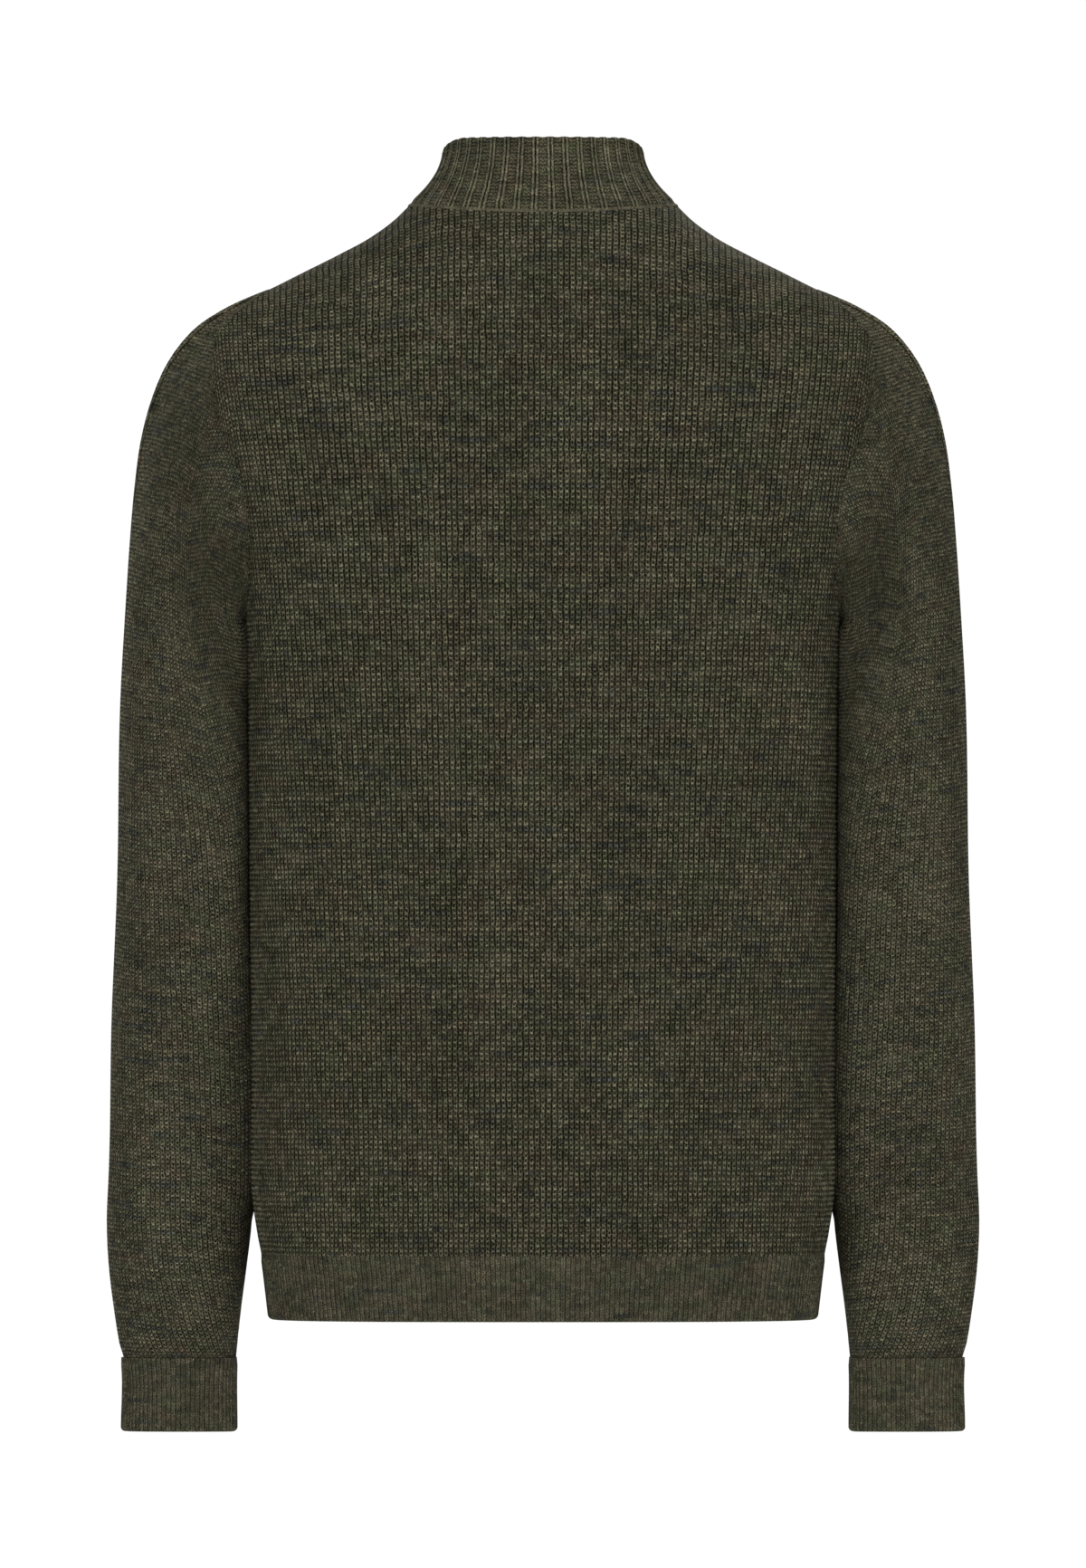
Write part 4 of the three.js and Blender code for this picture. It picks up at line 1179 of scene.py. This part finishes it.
def section_path(face: Face, run: float, steps: int = 160) -> Array:
    """Half of one sleeve section, from its outermost to its innermost point.

    Args:
        face: the arm's face.
        run: distance from the shoulder seam along the outer line.
        steps: in the path.

    Returns:
        Its points.
    """
    out_x, out_z, in_x, in_z = (line(run) for line in SLEEVE_LINES)
    ahead = ARM_AHEAD(run)
    out, inn = np.array([out_x, -ahead, out_z]), np.array([in_x, -ahead, in_z])
    middle, arm = (out + inn) / 2, (out - inn) / 2
    turn = np.pi * np.arange(steps + 1) / steps
    power = 2 / np.where(np.cos(turn) > 0, SLEEVE_SQUARENESS, SLEEVE_INSIDE)
    c = np.sign(np.cos(turn)) * np.abs(np.cos(turn)) ** power
    s = np.abs(np.sin(turn)) ** power
    path = middle + arm * c[:, None]
    path[:, 1] += face.way * face.arm_depth(run) * s
    return path


@dataclass
class Sleeves:
    """The set-in sleeves, in plain knit, and their one-by-one rib cuffs."""

    cloths: Cloths
    wale: float = SLEEVE_WALE
    columns_in_wale: int = 2
    row_step: float = 8.0
    row_power: float = 1.06  # rows lie a little closer towards the shoulder
    section_steps: int = 161
    rib_height: float = 0.28
    cuff_dip: float = 0.9
    cuff_dip_reach: float = 6.0
    wave_height: float = 0.4
    wave_margin: float = 40.0
    settling: int = 90  # turns
    settles_from: tuple[float, float, float] = (45.0, 15.0, 25.0)  # inner seam, outer line, armpit
    cuff_pitch: float = WELT_PITCH
    cuff_columns: int = 4
    cuff_height: float = 0.4
    cuff_roll: float = 2.6
    cuff_ease: float = 0.8
    cuff_rows: int = 9
    seam_dip: float = 0.3

    def sections(self, face: Face, runs: Array) -> list[Array]:
        """Half sections that leave the armhole's own shape as they run down the arm.

        Args:
            face: the arm's face.
            runs: distances from the shoulder seam along the outer line.

        Returns:
            A fine path for each run.
        """
        tau = np.linspace(0, 1, self.section_steps)
        crowd = tau**SHARE_POWER
        loop = spread(armhole_path(face)[::-1], crowd)
        first = spread(section_path(face, 0.0), crowd)
        paths = []
        for run in runs:
            even = np.clip(run / (2 * CAP_RUN), 0, 1)
            keep = 1 - smooth(run / CAP_RUN)
            path = spread(section_path(face, run), blend(crowd, tau, even)) + (loop - first) * keep
            if run > 0:
                low = path[:, 2] < UNDERARM
                side = side_at(path[:, 1], path[:, 2]) + lean_in(path[:, 2])
                away = path[:, 0] - side
                press = SLEEVE_PRESS * smooth((path[:, 2] - SLEEVE_LEAVES) / TOUCH_ENDS)
                pressed = away - press * np.exp(-((away / SLEEVE_PRESS_REACH) ** 2))
                path[:, 0] = np.where(low, side + np.maximum(pressed, 0), path[:, 0])
            paths.append(path)
        return paths

    def settled(self, points: Array, runs: Array, out: Array, beside: Array) -> Array:
        """Lets the cap's face settle into one smooth curve between the armhole and the arm.

        Args:
            points: the sleeve's rows, the last one being the armhole.
            runs: how far down the outer line each row starts.
            out: each point's distance from the outer line.
            beside: each point's distance to the inner seam.

        Returns:
            The settled rows.
        """
        across = round(self.row_step / self.wale * self.columns_in_wale)
        seam, line, armpit = self.settles_from
        free = (1 - smooth((runs - CAP_RUN) / CAP_RUN))[:, None] * smooth(beside / seam)
        free[-1] = 0
        level = free * smooth(out / line) * smooth((points[..., 2] - UNDERARM) / armpit)
        share = np.stack([level, free, level], axis=2)
        for turn in range(self.settling):
            reach = (across, across - 2, 1)[turn % 3]
            mean, sides = points.copy(), points.copy()
            mean[1:-1] = (points[2:] + points[:-2]) / 2
            sides[:, reach:-reach] = (points[:, 2 * reach :] + points[:, : -2 * reach]) / 2
            points = blend(points, (mean + sides) / 2, share)
        return points

    def lattice(self) -> tuple[Lattice, Array]:
        """The left sleeve from its inner seam by the front, the outer line and the back.

        Returns:
            Its lattice, and each point's distance to the inner seam.
        """
        count = round(CUFF_TOP_RUN / self.row_step)
        runs = CUFF_TOP_RUN * (1 - np.linspace(0, 1, count + 1)) ** self.row_power
        step = self.wale / self.columns_in_wale
        halves = []
        for face in (FRONT, BACK):
            paths = self.sections(face, runs)
            widths = [lengths_of(path)[-1] for path in paths]
            wales = np.arange(0, max(widths) + step, step)
            points = [points_at(path, wales) for path in paths]
            across = [np.minimum(wales, width) for width in widths]
            beside = [np.clip(width - wales, 0, None) for width in widths]
            halves.append((np.array(points), np.array(across), np.array(beside)))
        (fp, fa, fb), (bp, ba, bb) = halves
        points = np.concatenate([fp[:, ::-1][:, :-1], bp], axis=1)
        across = np.concatenate([-fa[:, ::-1][:, :-1], ba], axis=1)
        beside = np.concatenate([fb[:, ::-1][:, :-1], bb], axis=1)
        points = self.settled(points, runs, np.abs(across), beside)
        return Lattice(points, across, climb(points)), beside

    def build(self) -> None:
        """Makes and dresses both sleeves and both cuffs."""
        plain, beside = self.lattice()
        below = plain.along[-1] - plain.along
        nearest = np.minimum(np.minimum(beside, below), plain.along)
        ribs = np.cos(2 * np.pi * plain.across / self.wale)
        height = self.rib_height * ribs * smooth(nearest / RIB_MARGIN)
        height += dipped(plain.along, self.cuff_dip, self.cuff_dip_reach)
        z, y = plain.points[..., 2], plain.points[..., 1]
        waves = np.sin(z / 29 + y / 25) + np.sin(z / 41 - y / 33 + 2.1)
        height += self.wave_height * waves * smooth(nearest / self.wave_margin)
        left = plain.raised(height)
        left.across += self.wale / 2
        cut = Cut(float(np.ptp(plain.across)), float(plain.along.max()), flat_area(plain))
        for name, lattice in (("left", left), ("right", left.mirrored())):
            piece = make_cloth(f"sleeve_cloth_{name}", lattice, WALL_SLEEVE)
            dress(piece, self.cloths.sleeve, "plain_knit", f"sleeve_{name}", cut=cut)

        cuff = self.cuff()
        cut = Cut(float(np.ptp(cuff.across)), float(cuff.along.max()))
        for name, lattice in (("left", cuff), ("right", cuff.mirrored())):
            piece = make_cloth(f"cuff_cloth_{name}", lattice, WALL_RIB)
            dress(piece, self.cloths.welt, "welt_rib", f"cuff_{name}", cut=cut)

    def cuff(self) -> Lattice:
        """The left cuff, a closed tube that rolls in at its edge.

        Returns:
            Its lattice, raised rib by rib.
        """
        drop = CUFF_BOTTOM_RUN - CUFF_TOP_RUN
        turn = np.linspace(0, np.pi / 2, ROLL_STEPS)
        edge = self.cuff_roll * (1 - np.cos(turn))
        heights = np.concatenate([edge, np.linspace(self.cuff_roll, drop, self.cuff_rows)[1:]])
        loops = []
        for run in CUFF_BOTTOM_RUN - heights:
            front, back = section_path(FRONT, run), section_path(BACK, run)
            loops.append(np.concatenate([front[::-1][:-1], back]))
        around = lengths_of(loops[-1])[-1]
        ribs = round(around / self.cuff_pitch)
        shares = np.linspace(0, 1, ribs * self.cuff_columns + 1)
        points = np.array([spread(loop, shares) for loop in loops])
        points[-1, :, 2] -= SEAM_GAP / 2
        along = np.repeat(heights[:, None], len(shares), axis=1)
        across = np.repeat((shares * ribs * self.cuff_pitch)[None], len(heights), axis=0)
        flat = Lattice(points, across, along)
        ribbing = -np.cos(2 * np.pi * across / self.cuff_pitch)
        height = self.cuff_height * ribbing * smooth((drop - along) / RIB_MARGIN)
        height += self.cuff_ease + rolled(along, self.cuff_roll)
        height += dipped(drop - along, self.seam_dip, WELT_DIP_REACH)
        raised = flat.raised(height)
        raised.points[:, -1] = raised.points[:, 0]
        return raised


# ---------------------------------------------------------------- hem

@dataclass
class Hem:
    """The one-by-one rib welts below the back and the fronts."""

    cloths: Cloths
    pitch: float = WELT_PITCH
    columns_in_rib: int = 4
    rows: int = 8
    rib_height: float = 0.45
    seam_dip: float = 0.25
    roll: float = 3.2
    zip_roll: float = 2.6
    path_steps: int = 400

    def welt(self, face: Face, start: float, end: float) -> Lattice:
        """A welt below a panel.

        Args:
            face: the torso's face.
            start: where it starts, as a share of the half width, +1 being the wearer's left side.
            end: where it ends.

        Returns:
            Its lattice, raised rib by rib.
        """
        tall = HEM_TOP - HEM_BOTTOM
        turn = np.linspace(0, np.pi / 2, ROLL_STEPS)
        edge = self.roll * (1 - np.cos(turn))
        heights = np.concatenate([edge, np.linspace(self.roll, tall, self.rows)[1:]])
        t = blend(start, end, np.linspace(0, 1, self.path_steps))
        side, share = np.where(t < 0, -1, 1), np.sin(np.pi / 2 * np.abs(t))
        paths = []
        for z in HEM_BOTTOM + heights:
            x = side * blend(face.start, HALF_WIDTH(z), share)
            paths.append(np.stack([x, depth_at(face, x, z), 0 * x + z], axis=1))
        ribs = round(lengths_of(paths[-1])[-1] / self.pitch)
        shares = np.linspace(0, 1, ribs * self.columns_in_rib + 1)
        points = np.array([spread(path, shares) for path in paths])
        points[-1, :, 2] -= SEAM_GAP / 2
        along = np.repeat(heights[:, None], len(shares), axis=1)
        across = np.repeat((shares * ribs * self.pitch)[None], len(heights), axis=0)
        flat = Lattice(points, across, along)
        wide = ribs * self.pitch
        sides = np.minimum(across, wide - across)
        ribbing = -np.cos(2 * np.pi * across / self.pitch)
        height = self.rib_height * ribbing * smooth((tall - along) / RIB_MARGIN) * smooth(sides / 2)
        height += rolled(along, self.roll) + dipped(tall - along, self.seam_dip, WELT_DIP_REACH)
        if face is FRONT:
            height += rolled(across if start == 0 else wide - across, self.zip_roll)
        return flat.raised(height)

    def build(self) -> None:
        """Makes and dresses the three welts."""
        tall = HEM_TOP - HEM_BOTTOM
        whole = self.welt(BACK, 1.0, -1.0)
        piece = make_cloth("hem_cloth_back", whole, WALL_RIB)
        cut = Cut(float(np.ptp(whole.across)), tall)
        dress(piece, self.cloths.welt, "welt_rib", "hem_rib_back", cut=cut)
        left = self.welt(FRONT, 0.0, 1.0)
        cut = Cut(float(np.ptp(left.across)), tall)
        for name, lattice in (("left", left), ("right", left.mirrored())):
            piece = make_cloth(f"hem_cloth_front_{name}", lattice, WALL_RIB)
            dress(piece, self.cloths.welt, "welt_rib", f"hem_rib_front_{name}", cut=cut)


# ---------------------------------------------------------------- collar

@dataclass
class Collar:
    """The standing two-by-two rib collar."""

    cloths: Cloths
    half: float = 61.3
    back: float = 60.0
    front: float = 75.0
    top_back: float = 45.8
    corner_drop: float = 7.0
    corner_reach: float = 12.5
    top_front: float = 4.0
    flare: float = 1.95
    squareness: float = 2.2
    pitch: float = COLLAR_PITCH
    columns_in_rib: int = 12
    rows: int = 22
    rib_height: float = 1.1
    knit_half: float = 0.3  # half the width of the raised wales, in ribs
    knit_edge: float = 0.08  # and how soft their sides are
    split: float = 0.3  # how deep the groove between two raised wales is
    split_width: float = 0.05
    foot_margin: float = 6.0  # in which the ribs rise
    seam_dip: float = 0.3
    seam_reach: float = 3.0
    top_wave: float = 0.35  # how the ribs lift the top edge
    top_margin: float = 8.0
    front_power: float = 1.4  # how late the top edge drops towards the zip
    tall: float = 70.0
    roll: float = 2.4

    def foot_path(self) -> Array:
        """The neckline, from the left front's zip edge round the back to the right's.

        Returns:
            Its points.
        """
        t = np.sin(np.pi / 2 * np.linspace(0, 1, 160))
        x = blend(FRONT_EDGE, NECK_POINT, t)
        z = top_edge(FRONT, x)
        before = np.stack([x, depth_at(FRONT, x, z), z], axis=1)
        x = NECK_POINT * np.cos(np.linspace(0, np.pi, 320))
        z = top_edge(BACK, x)
        behind = np.stack([x, depth_at(BACK, x, z), z], axis=1)
        return np.concatenate([before[:-1], behind, before[::-1][1:] * np.array([-1, 1, 1])])

    def top_path(self) -> Array:
        """The top edge, in the same direction as the neckline.

        Returns:
            Its points.
        """
        power = 2 / self.squareness
        start = np.arccos((FRONT_EDGE / self.half) ** (1 / power))
        turn = np.linspace(-start, np.pi + start, 600)
        c, s = np.cos(turn), np.sin(turn)
        x = self.half * np.sign(c) * np.abs(c) ** power
        s = np.sign(s) * np.abs(s) ** power
        corner = self.top_back - self.corner_drop
        round_off = np.clip(1 - (self.half - np.abs(x)) / self.corner_reach, 0, 1)
        behind = self.top_back - self.corner_drop * (1 - np.sqrt(1 - round_off**2))
        before = blend(corner, self.top_front, np.abs(s) ** self.front_power)
        y = np.where(s > 0, self.back * s, self.front * s)
        return np.stack([x, y, np.where(s > 0, behind, before)], axis=1)

    def rows_at(self, levels: Array, shares: Array) -> Array:
        """The collar's face between its foot and its top edge.

        Args:
            levels: shares of the way up.
            shares: of the way round.

        Returns:
            A lattice of points, one row for each level.
        """
        edges = []
        for path in (self.foot_path(), self.top_path()):
            side = lengths_of(path)[np.argmax(path[:, 0])] / lengths_of(path)[-1]
            edges.append((path, side))
        mark = (edges[0][1] + edges[1][1]) / 2
        foot, top = (
            spread(path, np.interp(shares, (0, mark, 1 - mark, 1), (0, side, 1 - side, 1)))
            for path, side in edges
        )
        rows = []
        for h in levels:
            row = blend(foot, top, 1 - (1 - h) ** self.flare)
            row[:, 2] = blend(foot[:, 2], top[:, 2], h)
            rows.append(row)
        return np.array(rows)

    def build(self) -> None:
        """Makes and dresses the collar."""
        ribs = round(lengths_of(self.top_path())[-1] / self.pitch)
        shares = np.linspace(0, 1, ribs * self.columns_in_rib + 1)
        turn = np.linspace(np.pi / 2, 0, ROLL_STEPS)
        edge = 1 - self.roll * (1 - np.cos(turn)) / self.tall
        levels = np.concatenate([np.linspace(0, edge[0], self.rows)[:-1], edge])
        points = self.rows_at(levels, shares)
        along = climb(points)
        below = along[-1] - along
        across = np.repeat((shares * ribs * self.pitch)[None], len(levels), axis=0)
        flat = Lattice(points, across, along)
        rib = np.mod(across / self.pitch, 1)
        knit = smooth((self.knit_half - np.abs(rib - 0.5)) / self.knit_edge)
        split = self.split * np.exp(-(((rib - 0.5) / self.split_width) ** 2))
        height = self.rib_height * (knit - split)
        height *= smooth(along / self.foot_margin) * smooth(below / 2 + 0.4)
        height += rolled(below, self.roll) + dipped(along, self.seam_dip, self.seam_reach)
        sides = np.minimum(across, across.max() - across)
        height += rolled(sides, self.roll)
        made = flat.raised(height)
        made.points[..., 2] += self.top_wave * (knit - 0.5) * smooth(1 - below / self.top_margin)
        piece = make_cloth("collar_cloth", made, WALL_RIB)
        cut = Cut(float(across.max()), float(along.max()), flat_area(flat))
        dress(piece, self.cloths.collar, "collar_rib", "collar", cut=cut)


# ---------------------------------------------------------------- zip

@dataclass
class Zip:
    """The zip down the front: tapes, teeth, and the hard pieces that the frame already has."""

    cloths: Cloths
    collar: Collar
    depth: float = 3.4
    tape_inner: float = 0.4
    tape_outer: float = 15.0
    teeth_sink: float = 0.6
    teeth_thick: float = 2.5
    pitch: float = 3.0
    foot_rise: float = 0.8
    box_height: float = 8.0
    slider_from_top: float = 13.0
    slider_length: float = 11.0
    tape_from_top: float = 4.0
    tooth_length: float = 4.1
    tooth_width: float = 1.35
    tooth_middle: float = 0.95  # out from the middle of the zip
    tooth_bevel: float = 0.28
    first: tuple[float, float] = (0.3, 0.8)  # first tooth on the left and on the right, in pitches

    def stations(self, x: Array) -> Array:
        """The front's face beside the zip, from hem to collar.

        Args:
            x: distances out from the middle.

        Returns:
            A lattice of points, one row for each height.
        """
        reach = np.maximum(x, FRONT_EDGE)
        top = float(top_edge(FRONT, np.array(FRONT_EDGE)))
        rows = []
        for z in np.linspace(HEM_BOTTOM + 0.5, top, 70)[:-1]:
            rows.append(np.stack([x, depth_at(FRONT, reach, z), 0 * x + z], axis=1))
        shares = np.linspace(0, 0.2, 90)
        for row in self.collar.rows_at(np.linspace(0, 0.97, 9), shares):
            y = np.interp(reach, row[:, 0], row[:, 1])
            z = np.interp(reach, row[:, 0], row[:, 2])
            rows.append(np.stack([x, y, z], axis=1))
        return np.array(rows)

    def facings(self, rows: Array) -> Array:
        """The way the zip's plane looks.

        Args:
            rows: the stations.

        Returns:
            A direction for each row.
        """
        line = rows[:, 0]
        up = np.gradient(line, axis=0)
        up[:, 0] = 0
        up /= np.linalg.norm(up, axis=1, keepdims=True)
        return np.stack([0 * up[:, 0], -up[:, 2], up[:, 1]], axis=1)

    def at(self, rows: Array, heights: Array) -> tuple[Array, Array]:
        """Rows and facings at given heights on the zip.

        Args:
            rows: the stations.
            heights: at the first column.

        Returns:
            A lattice of points and a facing for each row.
        """
        z = rows[:, 0, 2]
        facing = self.facings(rows)
        points = np.stack([
            np.stack([np.interp(heights, z, rows[:, c, i]) for i in range(3)], axis=1)
            for c in range(rows.shape[1])
        ], axis=1)
        look = np.stack([np.interp(heights, z, facing[:, i]) for i in range(3)], axis=1)
        return points, look / np.linalg.norm(look, axis=1, keepdims=True)

    def tape(self) -> Lattice:
        """The left tape's face.

        Returns:
            Its lattice.
        """
        foot, top = HEM_BOTTOM + self.foot_rise, self.collar.top_front - self.tape_from_top
        x = np.linspace(self.tape_inner, self.tape_outer, 9)
        points, look = self.at(self.stations(x), np.linspace(foot, top, 90))
        points = points - look[:, None] * self.depth
        across = np.repeat(x[None], len(points), axis=0)
        return Lattice(points, across, climb(points))

    def tooth(self) -> bpy.types.Object:
        """One tooth, reaching over the middle towards the other side.

        Returns:
            A small block with bevelled edges, x across, y along the zip, z outwards.
        """
        deselect()
        bpy.ops.mesh.primitive_cube_add(size=1)
        piece = bpy.context.object
        piece.scale = (self.tooth_length, self.tooth_width, self.teeth_thick)
        piece.location = (self.tooth_middle, 0, -self.teeth_sink - self.teeth_thick / 2)
        bpy.ops.object.transform_apply(location=True, scale=True)
        bpy.ops.object.mode_set(mode="EDIT")
        bpy.ops.mesh.select_all(action="SELECT")
        bpy.ops.mesh.bevel(offset=self.tooth_bevel, segments=1)
        bpy.ops.object.mode_set(mode="OBJECT")
        return piece

    def teeth(self, side: int) -> bpy.types.Object:
        """One side's teeth.

        Args:
            side: +1 for the wearer's left, -1 for the right.

        Returns:
            The teeth as one piece.
        """
        foot = HEM_BOTTOM + self.foot_rise + self.box_height + SEAM_GAP
        slider = self.collar.top_front - self.slider_from_top
        top = slider - self.slider_length / 2 - SEAM_GAP
        first = foot + self.pitch * self.first[0 if side > 0 else 1]
        heights = np.arange(first, top - 0.7, self.pitch)
        points, look = self.at(self.stations(np.array([0.0])), heights)
        frames = []
        for place, out in zip(points[:, 0], look):
            across = np.array([side, 0.0, 0.0])
            up = np.cross(out, np.array([1.0, 0.0, 0.0]))
            frames.append((np.stack([across, side * up, out], axis=1), place))
        name = "zip_teeth_left_row" if side > 0 else "zip_teeth_right_row"
        return make_copies(name, self.tooth(), frames)

    def build(self) -> None:
        """Makes and dresses the zip."""
        left = self.tape()
        cut = Cut(self.tape_outer - self.tape_inner, float(left.along.max()), held="laid")
        for name, lattice in (("left", left), ("right", left.mirrored())):
            piece = make_cloth(f"zip_tape_{name}_woven", lattice, WALL_TAPE)
            dress(piece, self.cloths.tape, "zip_tape", f"zip_tape_{name}", cut=cut)
        for name, side in (("left", 1), ("right", -1)):
            dress(self.teeth(side), self.cloths.metal, "zip_metal", f"zip_teeth_{name}")
        for node in ("zip_slider", "zip_pull_tab", "zip_box", "zip_stop_left", "zip_stop_right"):
            for place in bpy.data.objects[node].material_slots:
                place.material = self.cloths.metal


# ---------------------------------------------------------------- linked seams

@dataclass
class Linking:
    """The row of linking stitches at the collar's foot: small yarn loops, end to end."""

    cloths: Cloths
    collar: Collar
    length: float = 3.0
    thick: float = 0.55
    flat: tuple[float, float] = (0.75, 0.8)  # a loop's half width, and how round it stays
    sunk: float = 0.1
    tilt: float = 0.8  # how far the row looks up

    def loop(self) -> bpy.types.Object:
        """Makes one loop of yarn.

        Returns:
            A small ring that lies along x and faces z.
        """
        deselect()
        bpy.ops.mesh.primitive_torus_add(
            major_segments=8, minor_segments=4, major_radius=1.0, minor_radius=self.thick
        )
        piece = bpy.context.object
        piece.scale = (self.length * 0.5, *self.flat)
        bpy.ops.object.transform_apply(scale=True)
        return piece

    def row(self, name: str, path: Array, look: Array) -> bpy.types.Object:
        """Loops along a seam.

        Args:
            name: of the piece.
            path: the seam.
            look: the way the cloth faces at each of its points.

        Returns:
            The row as one piece.
        """
        count = round(lengths_of(path)[-1] / self.length)
        shares = (np.arange(count) + 0.5) / count
        places = spread(path, shares)
        lengths = lengths_of(path) / lengths_of(path)[-1]
        faces = np.stack([np.interp(shares, lengths, look[:, i]) for i in range(3)], axis=1)
        run = np.gradient(places, axis=0)
        frames = []
        for i, place in enumerate(places):
            along = run[i] / np.linalg.norm(run[i])
            out = faces[i] - along * (faces[i] @ along)
            out /= np.linalg.norm(out)
            axes = np.stack([along, np.cross(out, along), out], axis=1)
            frames.append((axes, place - out * self.sunk))
        return make_copies(name, self.loop(), frames)

    def build(self) -> None:
        """Makes and dresses the row."""
        path = self.collar.foot_path()
        look = path * np.array([1 / NECK_POINT**2, 1 / self.collar.front**2, 0])
        look /= np.maximum(np.linalg.norm(look, axis=1, keepdims=True), 1e-9)
        look[:, 2] = self.tilt
        dress(self.row("collar_linking", path, look), self.cloths.linking, "collar_rib")


# ---------------------------------------------------------------- studio

@dataclass
class Studio:
    """A plain pale floor, soft light all round and the camera behind the wearer's back."""

    distance: float = 14.0
    frame_height: float = 0.970
    middle: float = -0.353
    floor_level: float = -1.47
    floor_radius: float = 3.4
    ambient: tuple[float, float, float, float] = (0.86, 0.88, 0.9, 1.0)
    ambient_strength: float = 0.36
    white: tuple[float, float, float, float] = (1.0, 1.0, 1.0, 1.0)
    white_strength: float = 1.05
    lights: tuple[tuple[str, tuple[float, float, float], float, float], ...] = (
        ("key", (1.2, 3.8, 2.0), 2.4, 165),
        ("fill_back", (-2.6, 3.4, 0.4), 2.4, 75),
        ("front", (-1.2, -3.8, 2.0), 2.4, 165),
        ("fill_front", (2.6, -3.4, 0.4), 2.4, 75),
        ("level_front", (0, -5.0, middle), 1.6, 60),
        ("side_left", (4.4, 0, 0.3), 2.0, 35),
        ("side_right", (-4.4, 0, 0.3), 2.0, 35),
        ("top", (0, 0, 3.4), 2.6, 115),
        ("level_back", (0, 5.0, middle), 1.6, 60),
    )  # name, place, size in metres and watts

    def camera(self) -> None:
        """Sets a level camera that looks at the back."""
        data = bpy.data.cameras.new("camera")
        data.sensor_width = 36.0
        data.lens = 36.0 * self.distance / self.frame_height
        data.clip_start, data.clip_end = 1.0, 80.0
        camera = bpy.data.objects.new("camera", data)
        camera.location = (0, self.distance, self.middle)
        camera.rotation_euler = (np.pi / 2, 0, np.pi)
        bpy.context.collection.objects.link(camera)
        bpy.context.scene.camera = camera

    def floor(self) -> None:
        """Lays the floor at standing height."""
        deselect()
        bpy.ops.mesh.primitive_circle_add(
            vertices=96, radius=self.floor_radius, fill_type="NGON",
            location=(0, 0, self.floor_level),
        )
        floor = bpy.context.object
        floor.name = "floor"
        s = Shader.material("matt_white_board")
        where = s.add("TexCoord", out="Object")
        cloud = s.add("TexNoise", sockets={"Vector": where, "Scale": 1.5, "Detail": 2.0})
        tone = s.add("MapRange", cloud, 0.3, 0.7, 0.88, 0.91)
        base = s.add("CombineColor", tone, tone, tone)
        surface = s.add("BsdfPrincipled", sockets={"Base Color": base, "Roughness": 0.9})
        s.add("OutputMaterial", surface)
        floor.data.materials.append(s.owner)

    def light(
        self, name: str, place: tuple[float, float, float], size: float, watts: float
    ) -> None:
        """Hangs one soft light that looks at the cardigan.

        Args:
            name: of the light.
            place: where it hangs, in metres.
            size: of its square face.
            watts: its power.
        """
        data = bpy.data.lights.new(name, "AREA")
        data.size, data.energy = size, watts
        light = bpy.data.objects.new(name, data)
        light.location = place
        towards = np.array([0, 0, self.middle]) - np.array(place)
        flat = np.hypot(towards[0], towards[1])
        tilt, turn = np.arctan2(towards[2], flat), np.arctan2(-towards[0], towards[1])
        light.rotation_euler = (np.pi / 2 + tilt, 0, turn)
        light.visible_camera = False
        bpy.context.collection.objects.link(light)

    def world(self) -> None:
        """White behind everything, and an even grey light from all round."""
        s = Shader(bpy.data.worlds.new("studio"))
        bpy.context.scene.world = s.owner
        ambient = s.add("Background", self.ambient, self.ambient_strength)
        white = s.add("Background", self.white, self.white_strength)
        s.add("OutputWorld", s.add("MixShader", s.add("LightPath"), ambient, white))

    def build(self) -> None:
        """Sets up the whole studio."""
        bpy.context.scene.view_settings.view_transform = "Standard"
        self.camera()
        self.floor()
        self.world()
        for light in self.lights:
            self.light(*light)


def main() -> None:
    """Builds the cardigan piece by piece, and the studio round it."""
    logging.basicConfig(level=logging.INFO, format="%(name)s: %(message)s")
    Studio().build()
    cloths = Cloths()
    collar = Collar(cloths)
    Panels(cloths).build()
    Sleeves(cloths).build()
    Hem(cloths).build()
    collar.build()
    Zip(cloths, collar).build()
    Linking(cloths, collar).build()


if __name__ == "__main__":
    main()
